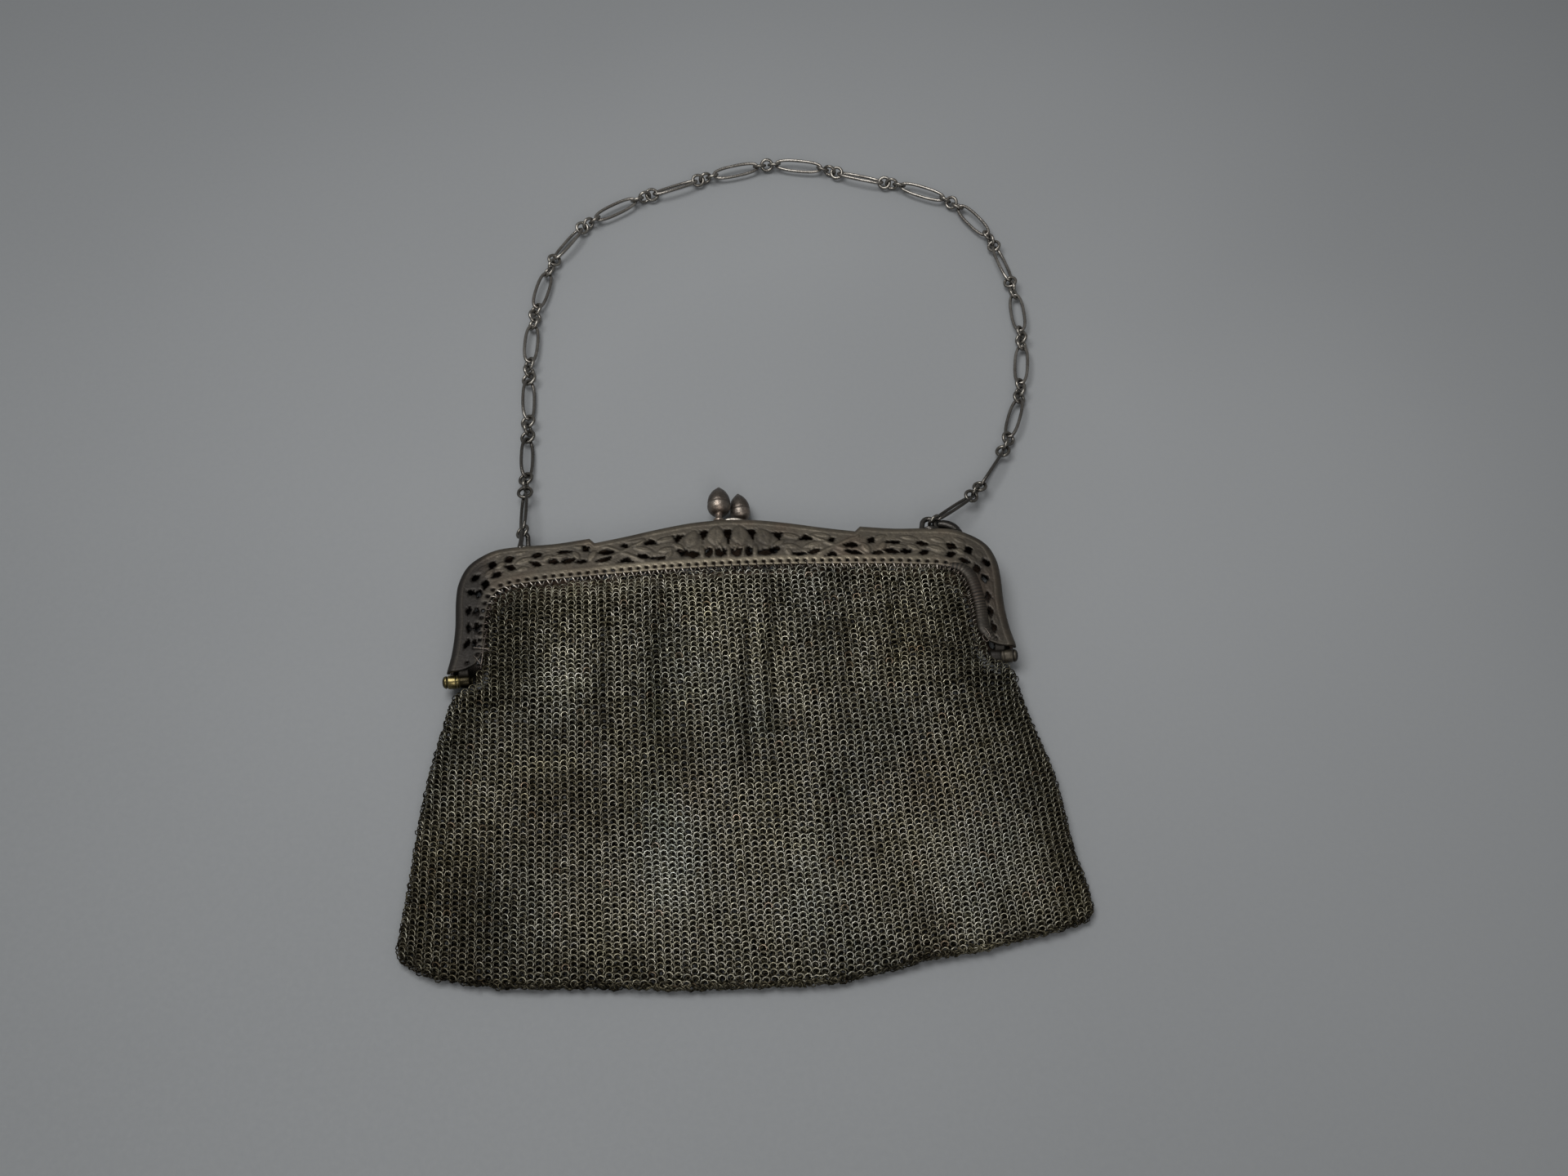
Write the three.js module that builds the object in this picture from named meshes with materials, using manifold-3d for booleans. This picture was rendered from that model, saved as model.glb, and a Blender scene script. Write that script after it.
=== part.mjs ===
// A ring-mesh frame purse lying on its back: two pierced frame halves hinged at their feet, a ball
// clasp of two acorns, a hollow mesh pouch and a chain handle laid in an open loop.
// Millimetres, +Z up. X runs along the hinge line and Y from the pouch's hem to the frame's crest.
import * as THREE from 'three';
import { mergeVertices } from 'three/addons/utils/BufferGeometryUtils.js';
import Module from 'manifold-3d';

const wasm = await Module();
wasm.setup();

// Driving sizes
const fit = 0.3; // clearance between neighbouring pieces
const frameDepth = 9.0; // both halves, closed
const plateThick = 1.0;
const rimWidth = 2.0; // width of the sloping rim
const rimDrop = 1.7; // how far the rim slopes down
const rimWall = 1.3; // thickness of the rim's upright wall
const footRise = 2.0; // how far the wall's lower edge lifts at the feet to clear the hinge
const meshWall = 1.2;
const knuckleRadius = 1.6;
const boreRadius = 0.95;
const pinRadius = 0.6;
const capRadius = 1.5;
const smallRingOuter = 4.6;
const smallRingWire = 1.0;
const longLinkWidth = 4.6;
const longLinkWire = 0.95;
const longLinkFullness = 2.5; // 2 is an ellipse, more is squarer
const lugWire = 0.9;
const linkCount = 19;

const midZ = frameDepth / 2;
const hingeY = -0.4;
const smallRingBore = smallRingOuter - 2 * smallRingWire;
const smallRingMean = (smallRingOuter - smallRingWire) / 2;
const ringJoin = smallRingBore + 0.3; // centre spacing of the three rings that stay joined
const ringSeat = (smallRingBore - longLinkWire) / 2 - 1.8 * fit; // from a link's end wire to its ring

// Half of the frame's outline, from the foot up to the notch and from the notch to the crest.
// Each row pairs a point of the outer edge with the point of the inner edge across the band.
const shoulderStations = [
  { outerX: 72.1, outerY: 0.6, innerX: 64.6, innerY: 2.4 },
  { outerX: 71.0, outerY: 6.4, innerX: 62.9, innerY: 6.1 },
  { outerX: 70.4, outerY: 14.0, innerX: 62.7, innerY: 13.1 },
  { outerX: 70.5, outerY: 23.0, innerX: 62.0, innerY: 19.1 },
  { outerX: 69.9, outerY: 28.4, innerX: 61.0, innerY: 22.6 },
  { outerX: 67.7, outerY: 33.6, innerX: 59.2, innerY: 24.9 },
  { outerX: 64.1, outerY: 36.8, innerX: 57.0, innerY: 25.9 },
  { outerX: 60.0, outerY: 38.6, innerX: 54.5, innerY: 26.5 },
  { outerX: 54.0, outerY: 39.3, innerX: 51.0, innerY: 26.9 },
  { outerX: 45.0, outerY: 39.7, innerX: 44.0, innerY: 27.6 },
  { outerX: 36.0, outerY: 40.9, innerX: 35.6, innerY: 28.1 },
];
const crestStations = [
  { outerX: 34.6, outerY: 39.4, innerX: 34.4, innerY: 28.2 },
  { outerX: 26.5, outerY: 41.0, innerX: 26.4, innerY: 28.6 },
  { outerX: 17.5, outerY: 43.0, innerX: 17.5, innerY: 29.0 },
  { outerX: 8.5, outerY: 44.6, innerX: 8.5, innerY: 29.2 },
  { outerX: 0.0, outerY: 45.2, innerX: 0.0, innerY: 29.3 },
];

// Piercings of one side of the frame, mirrored to the other; turn is in degrees from +X. Two sides
// make a pointed leaf, three a triangle with its tip along the turn, four a rectangle.
const piercings = [
  { x: 2.8, y: 33.4, long: 2.0, wide: 2.9, turn: 90, sides: 3 },
  { x: 6.3, y: 33.3, long: 1.9, wide: 2.0, turn: 0, sides: 4 },
  { x: 6.5, y: 38.7, long: 2.4, wide: 1.8, turn: 80, sides: 4 },
  { x: 12.2, y: 33.2, long: 4.6, wide: 1.9, turn: 4, sides: 4 },
  { x: 13.0, y: 38.4, long: 2.6, wide: 1.9, turn: 130, sides: 4 },
  { x: 18.5, y: 32.4, long: 4.5, wide: 0.8, turn: 0, sides: 2 },
  { x: 20.0, y: 36.6, long: 1.4, wide: 3.6, turn: 90, sides: 3 },
  { x: 22.6, y: 33.2, long: 3.4, wide: 1.2, turn: 14, sides: 2 },
  { x: 27.2, y: 32.2, long: 1.3, wide: 3.7, turn: 90, sides: 3 },
  { x: 27.4, y: 36.8, long: 1.7, wide: 1.1, turn: 20, sides: 2 },
  { x: 32.4, y: 34.8, long: 3.8, wide: 1.3, turn: 0, sides: 2 },
  { x: 32.8, y: 32.4, long: 4.3, wide: 1.3, turn: 164, sides: 2 },
  { x: 37.6, y: 36.0, long: 2.0, wide: 1.7, turn: 60, sides: 4 },
  { x: 38.2, y: 31.9, long: 2.8, wide: 1.0, turn: 0, sides: 2 },
  { x: 41.8, y: 32.0, long: 2.7, wide: 1.3, turn: 165, sides: 2 },
  { x: 43.2, y: 35.4, long: 3.4, wide: 0.8, turn: 176, sides: 2 },
  { x: 45.2, y: 32.2, long: 2.8, wide: 1.3, turn: 178, sides: 4 },
  { x: 50.3, y: 31.5, long: 2.2, wide: 1.2, turn: 10, sides: 4 },
  { x: 50.4, y: 34.5, long: 2.8, wide: 1.2, turn: 165, sides: 2 },
  { x: 57.2, y: 30.7, long: 2.4, wide: 1.4, turn: 160, sides: 4 },
  { x: 58.0, y: 33.6, long: 2.1, wide: 1.6, turn: 150, sides: 4 },
  { x: 62.0, y: 31.9, long: 2.2, wide: 1.6, turn: 130, sides: 4 },
  { x: 60.6, y: 28.5, long: 2.0, wide: 1.6, turn: 140, sides: 4 },
  { x: 66.2, y: 27.8, long: 2.6, wide: 1.7, turn: 125, sides: 2 },
  { x: 63.5, y: 25.8, long: 2.3, wide: 1.5, turn: 110, sides: 4 },
  { x: 67.2, y: 23.2, long: 1.9, wide: 1.4, turn: 20, sides: 4 },
  { x: 65.3, y: 22.7, long: 2.7, wide: 1.6, turn: 105, sides: 2 },
  { x: 67.7, y: 17.3, long: 2.3, wide: 1.0, turn: 100, sides: 2 },
  { x: 65.6, y: 16.6, long: 3.3, wide: 1.3, turn: 100, sides: 2 },
  { x: 67.4, y: 12.2, long: 3.0, wide: 1.2, turn: 88, sides: 2 },
  { x: 65.4, y: 12.0, long: 3.0, wide: 1.2, turn: 95, sides: 2 },
  { x: 67.7, y: 7.4, long: 3.4, wide: 1.0, turn: 115, sides: 2 },
  { x: 65.8, y: 7.4, long: 3.4, wide: 1.0, turn: 95, sides: 2 },
];
const crestPiercing = { x: 0, y: 38.0, long: 3.6, wide: 2.0, turn: -90, sides: 3 };

// Sections of the pouch from the mouth to the hem. sideY and middleY are the row's height at its
// ends and middle, half its half width, crown and rise the front's height at the middle and ends,
// and hollow the half width of the inside, wider than the pouch where the legs' gaps are open.
const pouchRows = [
  { sideY: 25.0, middleY: 28.7, half: 56.2, crown: 8.2, rise: 7.9, hollow: 66 },
  { sideY: 22.4, middleY: 25.4, half: 60.2, crown: 8.4, rise: 7.6, hollow: 66 },
  { sideY: 19.4, middleY: 21.6, half: 61.5, crown: 8.6, rise: 7.4, hollow: 66 },
  { sideY: 14.4, middleY: 15.8, half: 62.2, crown: 8.7, rise: 7.2, hollow: 66 },
  { sideY: 7.5, middleY: 8.4, half: 62.4, crown: 8.7, rise: 7.0, hollow: 66 },
  { sideY: 2.5, middleY: 2.6, half: 62.2, crown: 8.6, rise: 6.8, hollow: 66 },
  { sideY: -3.4, middleY: -4.4, half: 65.4, crown: 8.5, rise: 5.6, hollow: 66 },
  { sideY: -4.4, middleY: -6.6, half: 71.0, crown: 8.4, rise: 4.4, hollow: 68.6 },
  { sideY: -11.0, middleY: -13.0, half: 74.0, crown: 8.1, rise: 3.8, hollow: 71.0 },
  { sideY: -22.0, middleY: -25.0, half: 76.3, crown: 7.6, rise: 3.4, hollow: 73.0 },
  { sideY: -34.0, middleY: -38.5, half: 78.0, crown: 7.0, rise: 3.1, hollow: 74.4 },
  { sideY: -47.0, middleY: -53.0, half: 79.4, crown: 6.2, rise: 2.9, hollow: 75.6 },
  { sideY: -60.0, middleY: -69.0, half: 80.8, crown: 5.3, rise: 2.7, hollow: 76.8 },
  { sideY: -69.0, middleY: -80.0, half: 82.0, crown: 4.5, rise: 2.6, hollow: 77.6 },
  { sideY: -73.0, middleY: -85.6, half: 82.4, crown: 4.0, rise: 2.4, hollow: 77.6 },
  { sideY: -75.4, middleY: -88.4, half: 81.0, crown: 3.2, rise: 2.2, hollow: 77.0 },
];
const hemRows = 1; // sections at the hem that the hollow stops short of
const backShare = 0.97; // width of the flat back against the front
const rowBend = 2.2; // how squarely a row curves from its middle to its ends

// Valleys pressed into the pouch's front, each along a line from the frame downwards.
const foldLines = [
  { topX: -18.3, topY: 28, lowX: -19.7, lowY: -15, depth: 1.2, width: 2.4 },
  { topX: -32.0, topY: 27, lowX: -32.7, lowY: -21, depth: 0.8, width: 2.8 },
  { topX: 5.2, topY: 24, lowX: 2.2, lowY: -33, depth: 1.0, width: 2.2 },
  { topX: 11.3, topY: 30, lowX: 8.7, lowY: -20, depth: 1.2, width: 2.2 },
  { topX: 31.4, topY: 22, lowX: 28.2, lowY: -21, depth: 0.8, width: 3.0 },
  { topX: 43.6, topY: 22, lowX: 41.0, lowY: -8, depth: 0.9, width: 2.4 },
  { topX: -50.0, topY: 22, lowX: -56.0, lowY: -12, depth: 0.7, width: 3.4 },
];

// Chain eyes soldered to the front half's rim, and the small nub beside the right one.
const lugs = [
  { x: -54.0, edgeY: 39.3, reach: 5.6, roll: 50 },
  { x: 55.0, edgeY: 39.3, reach: 3.6, roll: 0 },
];
const lugSpan = 2.5; // width of an eye over its wire centres
const lugZ = midZ + 1.9;
const nub = { x: 61.9, y: 38.1, radius: 1.35 };

// Centre line of the chain from the left end ring to the right one, and how each link is rolled
// about that line: 0 lies flat and 90 stands on edge.
const chainRoute = [
  { x: -54.0, y: 45.4, z: 6.1 },
  { x: -53.9, y: 55.8, z: 4.2 },
  { x: -53.5, y: 75.3, z: 2.2 },
  { x: -53.4, y: 96.7, z: 2.2 },
  { x: -53.0, y: 116.9, z: 2.2 },
  { x: -49.8, y: 138.0, z: 2.2 },
  { x: -42.2, y: 156.7, z: 2.2 },
  { x: -27.5, y: 169.4, z: 2.2 },
  { x: -9.6, y: 176.8, z: 2.2 },
  { x: 8.5, y: 183.2, z: 2.2 },
  { x: 27.8, y: 185.0, z: 2.2 },
  { x: 46.2, y: 177.6, z: 2.2 },
  { x: 65.4, y: 171.4, z: 2.2 },
  { x: 79.4, y: 159.8, z: 2.2 },
  { x: 86.2, y: 140.6, z: 2.2 },
  { x: 88.7, y: 121.6, z: 2.2 },
  { x: 87.7, y: 103.0, z: 2.2 },
  { x: 83.8, y: 82.8, z: 2.2 },
  { x: 75.8, y: 64.0, z: 2.4 },
  { x: 64.2, y: 48.6, z: 4.6 },
  { x: 56.3, y: 42.5, z: 6.4 },
];
const linkRolls = [62, 22, 34, 12, 18, 42, 8, 52, 14, 16, 48, 6, 20, 44, 10, 16, 24, 74, 16];
// How much further than usual the rings lie apart between each two links; the sum is zero.
const ringSlack = [
  0.45, 0.45, 0.45, 0.4, 0, 0, -0.05, -0.2, -0.2, -0.2, -0.2, -0.2, -0.2, -0.2, -0.1, -0.05, -0.05, -0.1,
];
const endRingRolls = { left: -38, right: 90 };

// Clasp knobs: where the stem meets the rim, and where the acorn's tip ends.
const acorns = [
  { name: 'clasp_acorn_front', base: [-1.4, 45.5, 6.0], tip: [-1.0, 57.2, 6.1], radius: 3.05 },
  { name: 'clasp_acorn_back', base: [4.8, 45.4, 3.0], tip: [4.1, 56.6, 3.7], radius: 2.7 },
];

const metals = {
  frame: { color: '#6f675e', roughness: 0.42 },
  mesh: { color: '#7a766b', roughness: 0.45 },
  chain: { color: '#4d4a46', roughness: 0.38 },
  acorn: { color: '#7b756e', roughness: 0.32 },
  brass: { color: '#9c8b4e', roughness: 0.35 },
};

// Solids from matching outlines

function flipIfInside(geometry) {
  // Turns every face over where the enclosed volume comes out negative.
  const place = geometry.getAttribute('position');
  const order = geometry.getIndex().array;
  const corner = [new THREE.Vector3(), new THREE.Vector3(), new THREE.Vector3()];
  let volume = 0;
  for (let i = 0; i < order.length; i += 3) {
    corner.forEach((point, k) => point.fromBufferAttribute(place, order[i + k]));
    volume += corner[0].dot(corner[1].clone().cross(corner[2]));
  }
  if (volume < 0) {
    const turned = [];
    for (let i = 0; i < order.length; i += 3) {
      turned.push(order[i], order[i + 2], order[i + 1]);
    }
    geometry.setIndex(turned);
  }
  return geometry;
}

function loft(sections, closed = false) {
  // Skins a run of outlines with equal counts. The ends of an open run are closed by a ladder of
  // faces between the outline's first half and its second half.
  const count = sections[0].length;
  const index = [];
  const bands = closed ? sections.length : sections.length - 1;
  for (let i = 0; i < bands; i += 1) {
    const near = i * count;
    const far = ((i + 1) % sections.length) * count;
    for (let j = 0; j < count; j += 1) {
      const k = (j + 1) % count;
      index.push(near + j, near + k, far + k);
      index.push(near + j, far + k, far + j);
    }
  }
  if (!closed) {
    const last = (sections.length - 1) * count;
    for (let j = 0; j < count / 2 - 1; j += 1) {
      const [a, b, c, d] = [j, j + 1, count - 2 - j, count - 1 - j];
      index.push(a, c, b, a, d, c);
      index.push(last + a, last + b, last + c, last + a, last + c, last + d);
    }
  }
  const geometry = new THREE.BufferGeometry().setFromPoints(sections.flat());
  geometry.setIndex(index);
  return flipIfInside(geometry);
}

function solidOf(geometry) {
  // A boolean-ready solid from any closed geometry.
  const bare = geometry.clone();
  bare.deleteAttribute('normal');
  bare.deleteAttribute('uv');
  const welded = mergeVertices(bare, 1e-4);
  return new wasm.Manifold(new wasm.Mesh({
    numProp: 3,
    vertProperties: new Float32Array(welded.getAttribute('position').array),
    triVerts: new Uint32Array(welded.getIndex().array),
  }));
}

function geometryOf(solid) {
  const mesh = solid.getMesh();
  const geometry = new THREE.BufferGeometry();
  geometry.setAttribute('position', new THREE.BufferAttribute(mesh.vertProperties, 3));
  geometry.setIndex(new THREE.BufferAttribute(mesh.triVerts, 1));
  return geometry;
}

function joined(geometries) {
  return geometries.map(solidOf).reduce((whole, piece) => whole.add(piece));
}

const bag = new THREE.Group();

function addPiece(name, geometry, metal) {
  const material = new THREE.MeshStandardMaterial({ ...metal, metalness: 1 });
  const mesh = new THREE.Mesh(geometry, material);
  mesh.name = name;
  bag.add(mesh);
  return mesh;
}

// Frame

function stationCurve(stations, xKey, yKey) {
  return new THREE.CatmullRomCurve3(stations.map((s) => new THREE.Vector3(s[xKey], s[yKey], 0)));
}

function bandHalf(stations, steps) {
  // Matched outer and inner points along one run of stations.
  const outer = stationCurve(stations, 'outerX', 'outerY');
  const inner = stationCurve(stations, 'innerX', 'innerY');
  return Array.from({ length: steps + 1 }, (_, i) => ({
    outer: outer.getPoint(i / steps),
    inner: inner.getPoint(i / steps),
  }));
}

function bandPairs() {
  // The whole arch from the left foot over the crest to the right foot.
  const right = [...bandHalf(shoulderStations, 17), ...bandHalf(crestStations, 8)];
  const mirror = (p) => new THREE.Vector3(-p.x, p.y, 0);
  const left = right.slice(0, -1).map((s) => ({ outer: mirror(s.outer), inner: mirror(s.inner) }));
  return [...left, ...right.reverse()];
}

function acrossBand({ outer, inner }, profileOf) {
  // Carries a profile of inward distances and heights onto one station of the band.
  const across = inner.clone().sub(outer);
  const width = across.length();
  across.normalize();
  return profileOf(width, outer).map((p) => {
    const point = outer.clone().addScaledVector(across, p.inward);
    return point.setZ(p.z);
  });
}

function rimProfile(width, outer) {
  // Upright wall down to the parting plane, with a rounded slope up to the face. The wall thins out
  // towards the feet.
  const lift = footRise * (1 - THREE.MathUtils.smoothstep(outer.y, 1, 6));
  const parting = midZ + fit / 2 + lift;
  return [
    { inward: 0, z: parting },
    { inward: 0, z: frameDepth - rimDrop },
    { inward: rimWidth * 0.45, z: frameDepth - rimDrop * 0.35 },
    { inward: rimWidth, z: frameDepth },
    { inward: rimWidth, z: frameDepth - plateThick },
    { inward: rimWall, z: parting },
  ];
}

function faceProfile(width) {
  // The flat face, let a little into the rim.
  return [
    { inward: rimWidth - 0.3, z: frameDepth - plateThick },
    { inward: rimWidth, z: frameDepth },
    { inward: width, z: frameDepth },
    { inward: width, z: frameDepth - plateThick },
  ];
}

function piercingOutline({ long, wide, sides }) {
  const shape = new THREE.Shape();
  if (sides === 2) {
    shape.moveTo(-long / 2, 0);
    shape.quadraticCurveTo(0, wide, long / 2, 0);
    shape.quadraticCurveTo(0, -wide, -long / 2, 0);
  } else if (sides === 3) {
    shape.moveTo(long / 2, 0);
    shape.lineTo(-long / 2, wide / 2);
    shape.lineTo(-long / 2, -wide / 2);
  } else {
    shape.moveTo(long / 2, wide / 2);
    shape.lineTo(-long / 2, wide / 2);
    shape.lineTo(-long / 2, -wide / 2);
    shape.lineTo(long / 2, -wide / 2);
  }
  return shape;
}

function piercingCutter(piercing) {
  // A straight-sided plug through the face, turned and set in its place.
  const cutter = new THREE.ExtrudeGeometry(piercingOutline(piercing), {
    depth: plateThick + 2,
    bevelEnabled: false,
    curveSegments: 3,
  });
  cutter.rotateZ(THREE.MathUtils.degToRad(piercing.turn));
  cutter.translate(piercing.x, piercing.y, frameDepth - plateThick - 1);
  return cutter;
}

function piercedHalf() {
  const mirrored = piercings.map((c) => ({ ...c, x: -c.x, turn: 180 - c.turn }));
  const cuts = joined([...piercings, ...mirrored, crestPiercing].map(piercingCutter));
  const pairs = bandPairs();
  const rim = loft(pairs.map((pair) => acrossBand(pair, rimProfile)));
  const face = loft(pairs.map((pair) => acrossBand(pair, faceProfile)));
  return joined([rim, face]).subtract(cuts);
}

function knuckle(side, fromX, toX) {
  // A hinge barrel at one foot with the tab that carries it up to the plate.
  const length = toX - fromX;
  const middle = side * (fromX + toX) / 2;
  const barrel = new THREE.CylinderGeometry(knuckleRadius, knuckleRadius, length, 12);
  barrel.rotateZ(Math.PI / 2);
  barrel.translate(middle, hingeY, midZ);
  const tabTop = frameDepth - plateThick / 2;
  const tabFoot = midZ + knuckleRadius * 0.5;
  const tab = new THREE.BoxGeometry(length, 4.4, tabTop - tabFoot);
  tab.translate(middle, hingeY + 2.4, (tabTop + tabFoot) / 2);
  const bore = new THREE.CylinderGeometry(boreRadius, boreRadius, length + 2, 10);
  bore.rotateZ(Math.PI / 2);
  bore.translate(middle, hingeY, midZ);
  return joined([barrel, tab]).subtract(solidOf(bore));
}

function lugEye({ x, edgeY, reach, roll }) {
  // A hairpin eye: two legs out of the rim joined by a half round.
  const radius = lugSpan / 2;
  const straight = reach - radius;
  const path = [];
  const rise = [-1.1, straight * 0.5, straight];
  rise.forEach((y) => path.push(new THREE.Vector3(-radius, y, 0)));
  for (let i = 1; i < 6; i += 1) {
    const angle = Math.PI * (1 - i / 6);
    path.push(new THREE.Vector3(radius * Math.cos(angle), straight + radius * Math.sin(angle), 0));
  }
  [...rise].reverse().forEach((y) => path.push(new THREE.Vector3(radius, y, 0)));
  const wire = new THREE.Shape().absarc(0, 0, lugWire / 2, 0, 2 * Math.PI);
  const eye = new THREE.ExtrudeGeometry(wire, {
    steps: 14,
    curveSegments: 3,
    bevelEnabled: false,
    extrudePath: new THREE.CatmullRomCurve3(path),
  });
  eye.rotateY(THREE.MathUtils.degToRad(roll));
  eye.translate(x, edgeY, lugZ);
  return solidOf(eye);
}

function nubBead() {
  const bead = new THREE.SphereGeometry(nub.radius, 10, 6);
  bead.translate(nub.x, nub.y, lugZ);
  return solidOf(bead);
}

const half = piercedHalf();
const overMiddle = (solid) => solid.mirror([0, 0, 1]).translate([0, 0, frameDepth]);

let front = half;
let back = half;
[-1, 1].forEach((side) => {
  front = front.add(knuckle(side, 66.6, 69.3));
  back = back.add(knuckle(side, 69.7, 72.4));
});
lugs.forEach((lug) => {
  front = front.add(lugEye(lug));
});
front = front.add(nubBead());
addPiece('frame_front', geometryOf(front), metals.frame);
addPiece('frame_back', geometryOf(overMiddle(back)), metals.frame);

// Hinge pins

function hingePin() {
  // Turned about Y and laid along X: inner head, shaft through both knuckles, ball cap.
  const headStart = 65.9;
  const capStart = 72.7;
  const profile = [
    { r: 0, at: headStart },
    { r: 1.3, at: headStart },
    { r: 1.3, at: headStart + 0.4 },
    { r: pinRadius, at: headStart + 0.4 },
    { r: pinRadius, at: capStart },
    { r: capRadius * 0.9, at: capStart },
    { r: capRadius, at: capStart + 0.4 },
    { r: capRadius * 0.75, at: capStart + 0.9 },
    { r: 0, at: capStart + 1.2 },
  ];
  const pin = new THREE.LatheGeometry(profile.map((p) => new THREE.Vector2(p.r, p.at)), 10);
  pin.rotateZ(-Math.PI / 2);
  return pin;
}

[{ name: 'hinge_pin_left', turn: Math.PI, metal: metals.brass },
  { name: 'hinge_pin_right', turn: 0, metal: metals.frame }].forEach(({ name, turn, metal }) => {
  const pin = addPiece(name, geometryOf(solidOf(hingePin())), metal);
  pin.rotation.z = turn;
  pin.position.set(0, hingeY, midZ);
});

// Clasp knobs

function acornKnob({ base, tip, radius }) {
  // Turned about Y: flange, neck, cup, nut and rounded tip, then leaned from base to tip.
  const from = new THREE.Vector3(...base);
  const to = new THREE.Vector3(...tip);
  const length = from.distanceTo(to);
  const profile = [
    { r: 0, at: 0 },
    { r: 1.25, at: 0 },
    { r: 1.0, at: 0.08 },
    { r: 0.9, at: 0.18 },
    { r: radius * 0.8, at: 0.27 },
    { r: radius * 0.98, at: 0.39 },
    { r: radius, at: 0.55 },
    { r: radius * 0.85, at: 0.76 },
    { r: radius * 0.5, at: 0.91 },
    { r: 0, at: 1 },
  ];
  const points = profile.map((p) => new THREE.Vector2(p.r, p.at * length));
  const knob = new THREE.LatheGeometry(points, 14);
  const lean = new THREE.Quaternion().setFromUnitVectors(
    new THREE.Vector3(0, 1, 0),
    to.clone().sub(from).normalize(),
  );
  knob.applyQuaternion(lean);
  knob.translate(from.x, from.y, from.z);
  return knob;
}

acorns.forEach((acorn) => {
  addPiece(acorn.name, geometryOf(solidOf(acornKnob(acorn))), metals.acorn);
});

// Pouch

function foldDepth(x, y) {
  // Sum of the valleys at a point, each fading out beyond the ends of its line.
  return foldLines.reduce((sum, f) => {
    const along = (f.topY - y) / (f.topY - f.lowY);
    const line = f.topX + (f.lowX - f.topX) * along;
    const fade = THREE.MathUtils.smoothstep(along, -0.3, 0.15)
      * (1 - THREE.MathUtils.smoothstep(along, 0.6, 1.25));
    return sum + f.depth * fade * Math.exp(-(((x - line) / f.width) ** 2));
  }, 0);
}

function rowPoint(row, share) {
  // A point across a row: its height follows the row's bend from middle to ends.
  const bend = 1 - Math.abs(share) ** rowBend;
  return { x: row.half * share, y: row.sideY + (row.middleY - row.sideY) * bend };
}

function frontHeight(row, share, x, y) {
  const swell = Math.sqrt(1 - Math.abs(share) ** 5);
  return row.rise + (row.crown - row.rise) * swell - foldDepth(x, y) * swell;
}

function pouchSkin(row) {
  // Front from left to right, then the flat back from right to left, a little narrower.
  const steps = 26;
  const shares = Array.from({ length: steps + 1 }, (_, i) => {
    const swing = (i / steps - 0.5) * Math.PI * 0.92;
    return Math.sin(swing) / Math.sin(Math.PI * 0.46);
  });
  const face = shares.map((share) => {
    const { x, y } = rowPoint(row, share);
    return new THREE.Vector3(x, y, frontHeight(row, share, x, y));
  });
  const rest = shares.map((share) => {
    const { x, y } = rowPoint(row, -share * backShare);
    return new THREE.Vector3(x, y, 0);
  });
  return [...face, ...rest];
}

function hollowSkin(row) {
  // The inside, one wall thickness in from the front and the back.
  const steps = 14;
  const inside = { ...row, half: row.hollow };
  const shares = Array.from({ length: steps + 1 }, (_, i) => 2 * i / steps - 1);
  const roof = shares.map((share) => {
    const { x, y } = rowPoint(inside, share);
    const outerShare = THREE.MathUtils.clamp(x / row.half, -1, 1);
    const under = frontHeight(row, outerShare, x, y) - meshWall;
    return new THREE.Vector3(x, y, Math.max(under, meshWall + 0.4));
  });
  const floor = shares.map((share) => {
    const { x, y } = rowPoint(inside, -share);
    return new THREE.Vector3(x, y, meshWall);
  });
  return [...roof, ...floor];
}

function meshPouch() {
  const outside = loft(pouchRows.map(pouchSkin));
  const first = pouchRows[0];
  const beyond = { ...first, sideY: first.sideY + 4, middleY: first.middleY + 4 };
  const inner = [beyond, ...pouchRows.slice(0, pouchRows.length - hemRows)];
  return solidOf(outside).subtract(solidOf(loft(inner.map(hollowSkin))));
}

addPiece('mesh_pouch', geometryOf(meshPouch()), metals.mesh);

// Chain

function wireLoop(halfLong, halfWide, fullness, wire, segments) {
  // A closed wire in the XY plane along a superellipse: fullness 2 is an ellipse, more is squarer.
  const sides = 4;
  const swing = (value, power) => Math.sign(value) * Math.abs(value) ** power;
  const sections = [];
  for (let i = 0; i < segments; i += 1) {
    const angle = 2 * Math.PI * (i + 0.5) / segments;
    const alongShare = swing(Math.cos(angle), 2 / fullness);
    const acrossShare = swing(Math.sin(angle), 2 / fullness);
    const centre = new THREE.Vector3(halfLong * alongShare, halfWide * acrossShare, 0);
    const out = new THREE.Vector3(
      swing(alongShare, fullness - 1) / halfLong,
      swing(acrossShare, fullness - 1) / halfWide,
      0,
    ).normalize();
    const section = [];
    for (let k = 0; k < sides; k += 1) {
      const turn = 2 * Math.PI * (k + 0.5) / sides;
      const point = centre.clone().addScaledVector(out, wire / 2 * Math.cos(turn));
      section.push(point.setZ(wire / 2 * Math.sin(turn)));
    }
    sections.push(section);
  }
  return loft(sections, true);
}

function laidAlong(geometry, centre, direction, rollDegrees) {
  // Lays a loop's long axis along a direction, rolled about it from flat.
  const along = direction.clone().normalize();
  const level = new THREE.Vector3(0, 0, 1).cross(along).normalize();
  const upright = along.clone().cross(level);
  const basis = new THREE.Matrix4().makeBasis(along, level, upright);
  const roll = new THREE.Matrix4().makeRotationX(THREE.MathUtils.degToRad(rollDegrees));
  const laid = geometry.clone().applyMatrix4(basis.multiply(roll));
  laid.translate(centre.x, centre.y, centre.z);
  return laid;
}

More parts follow.
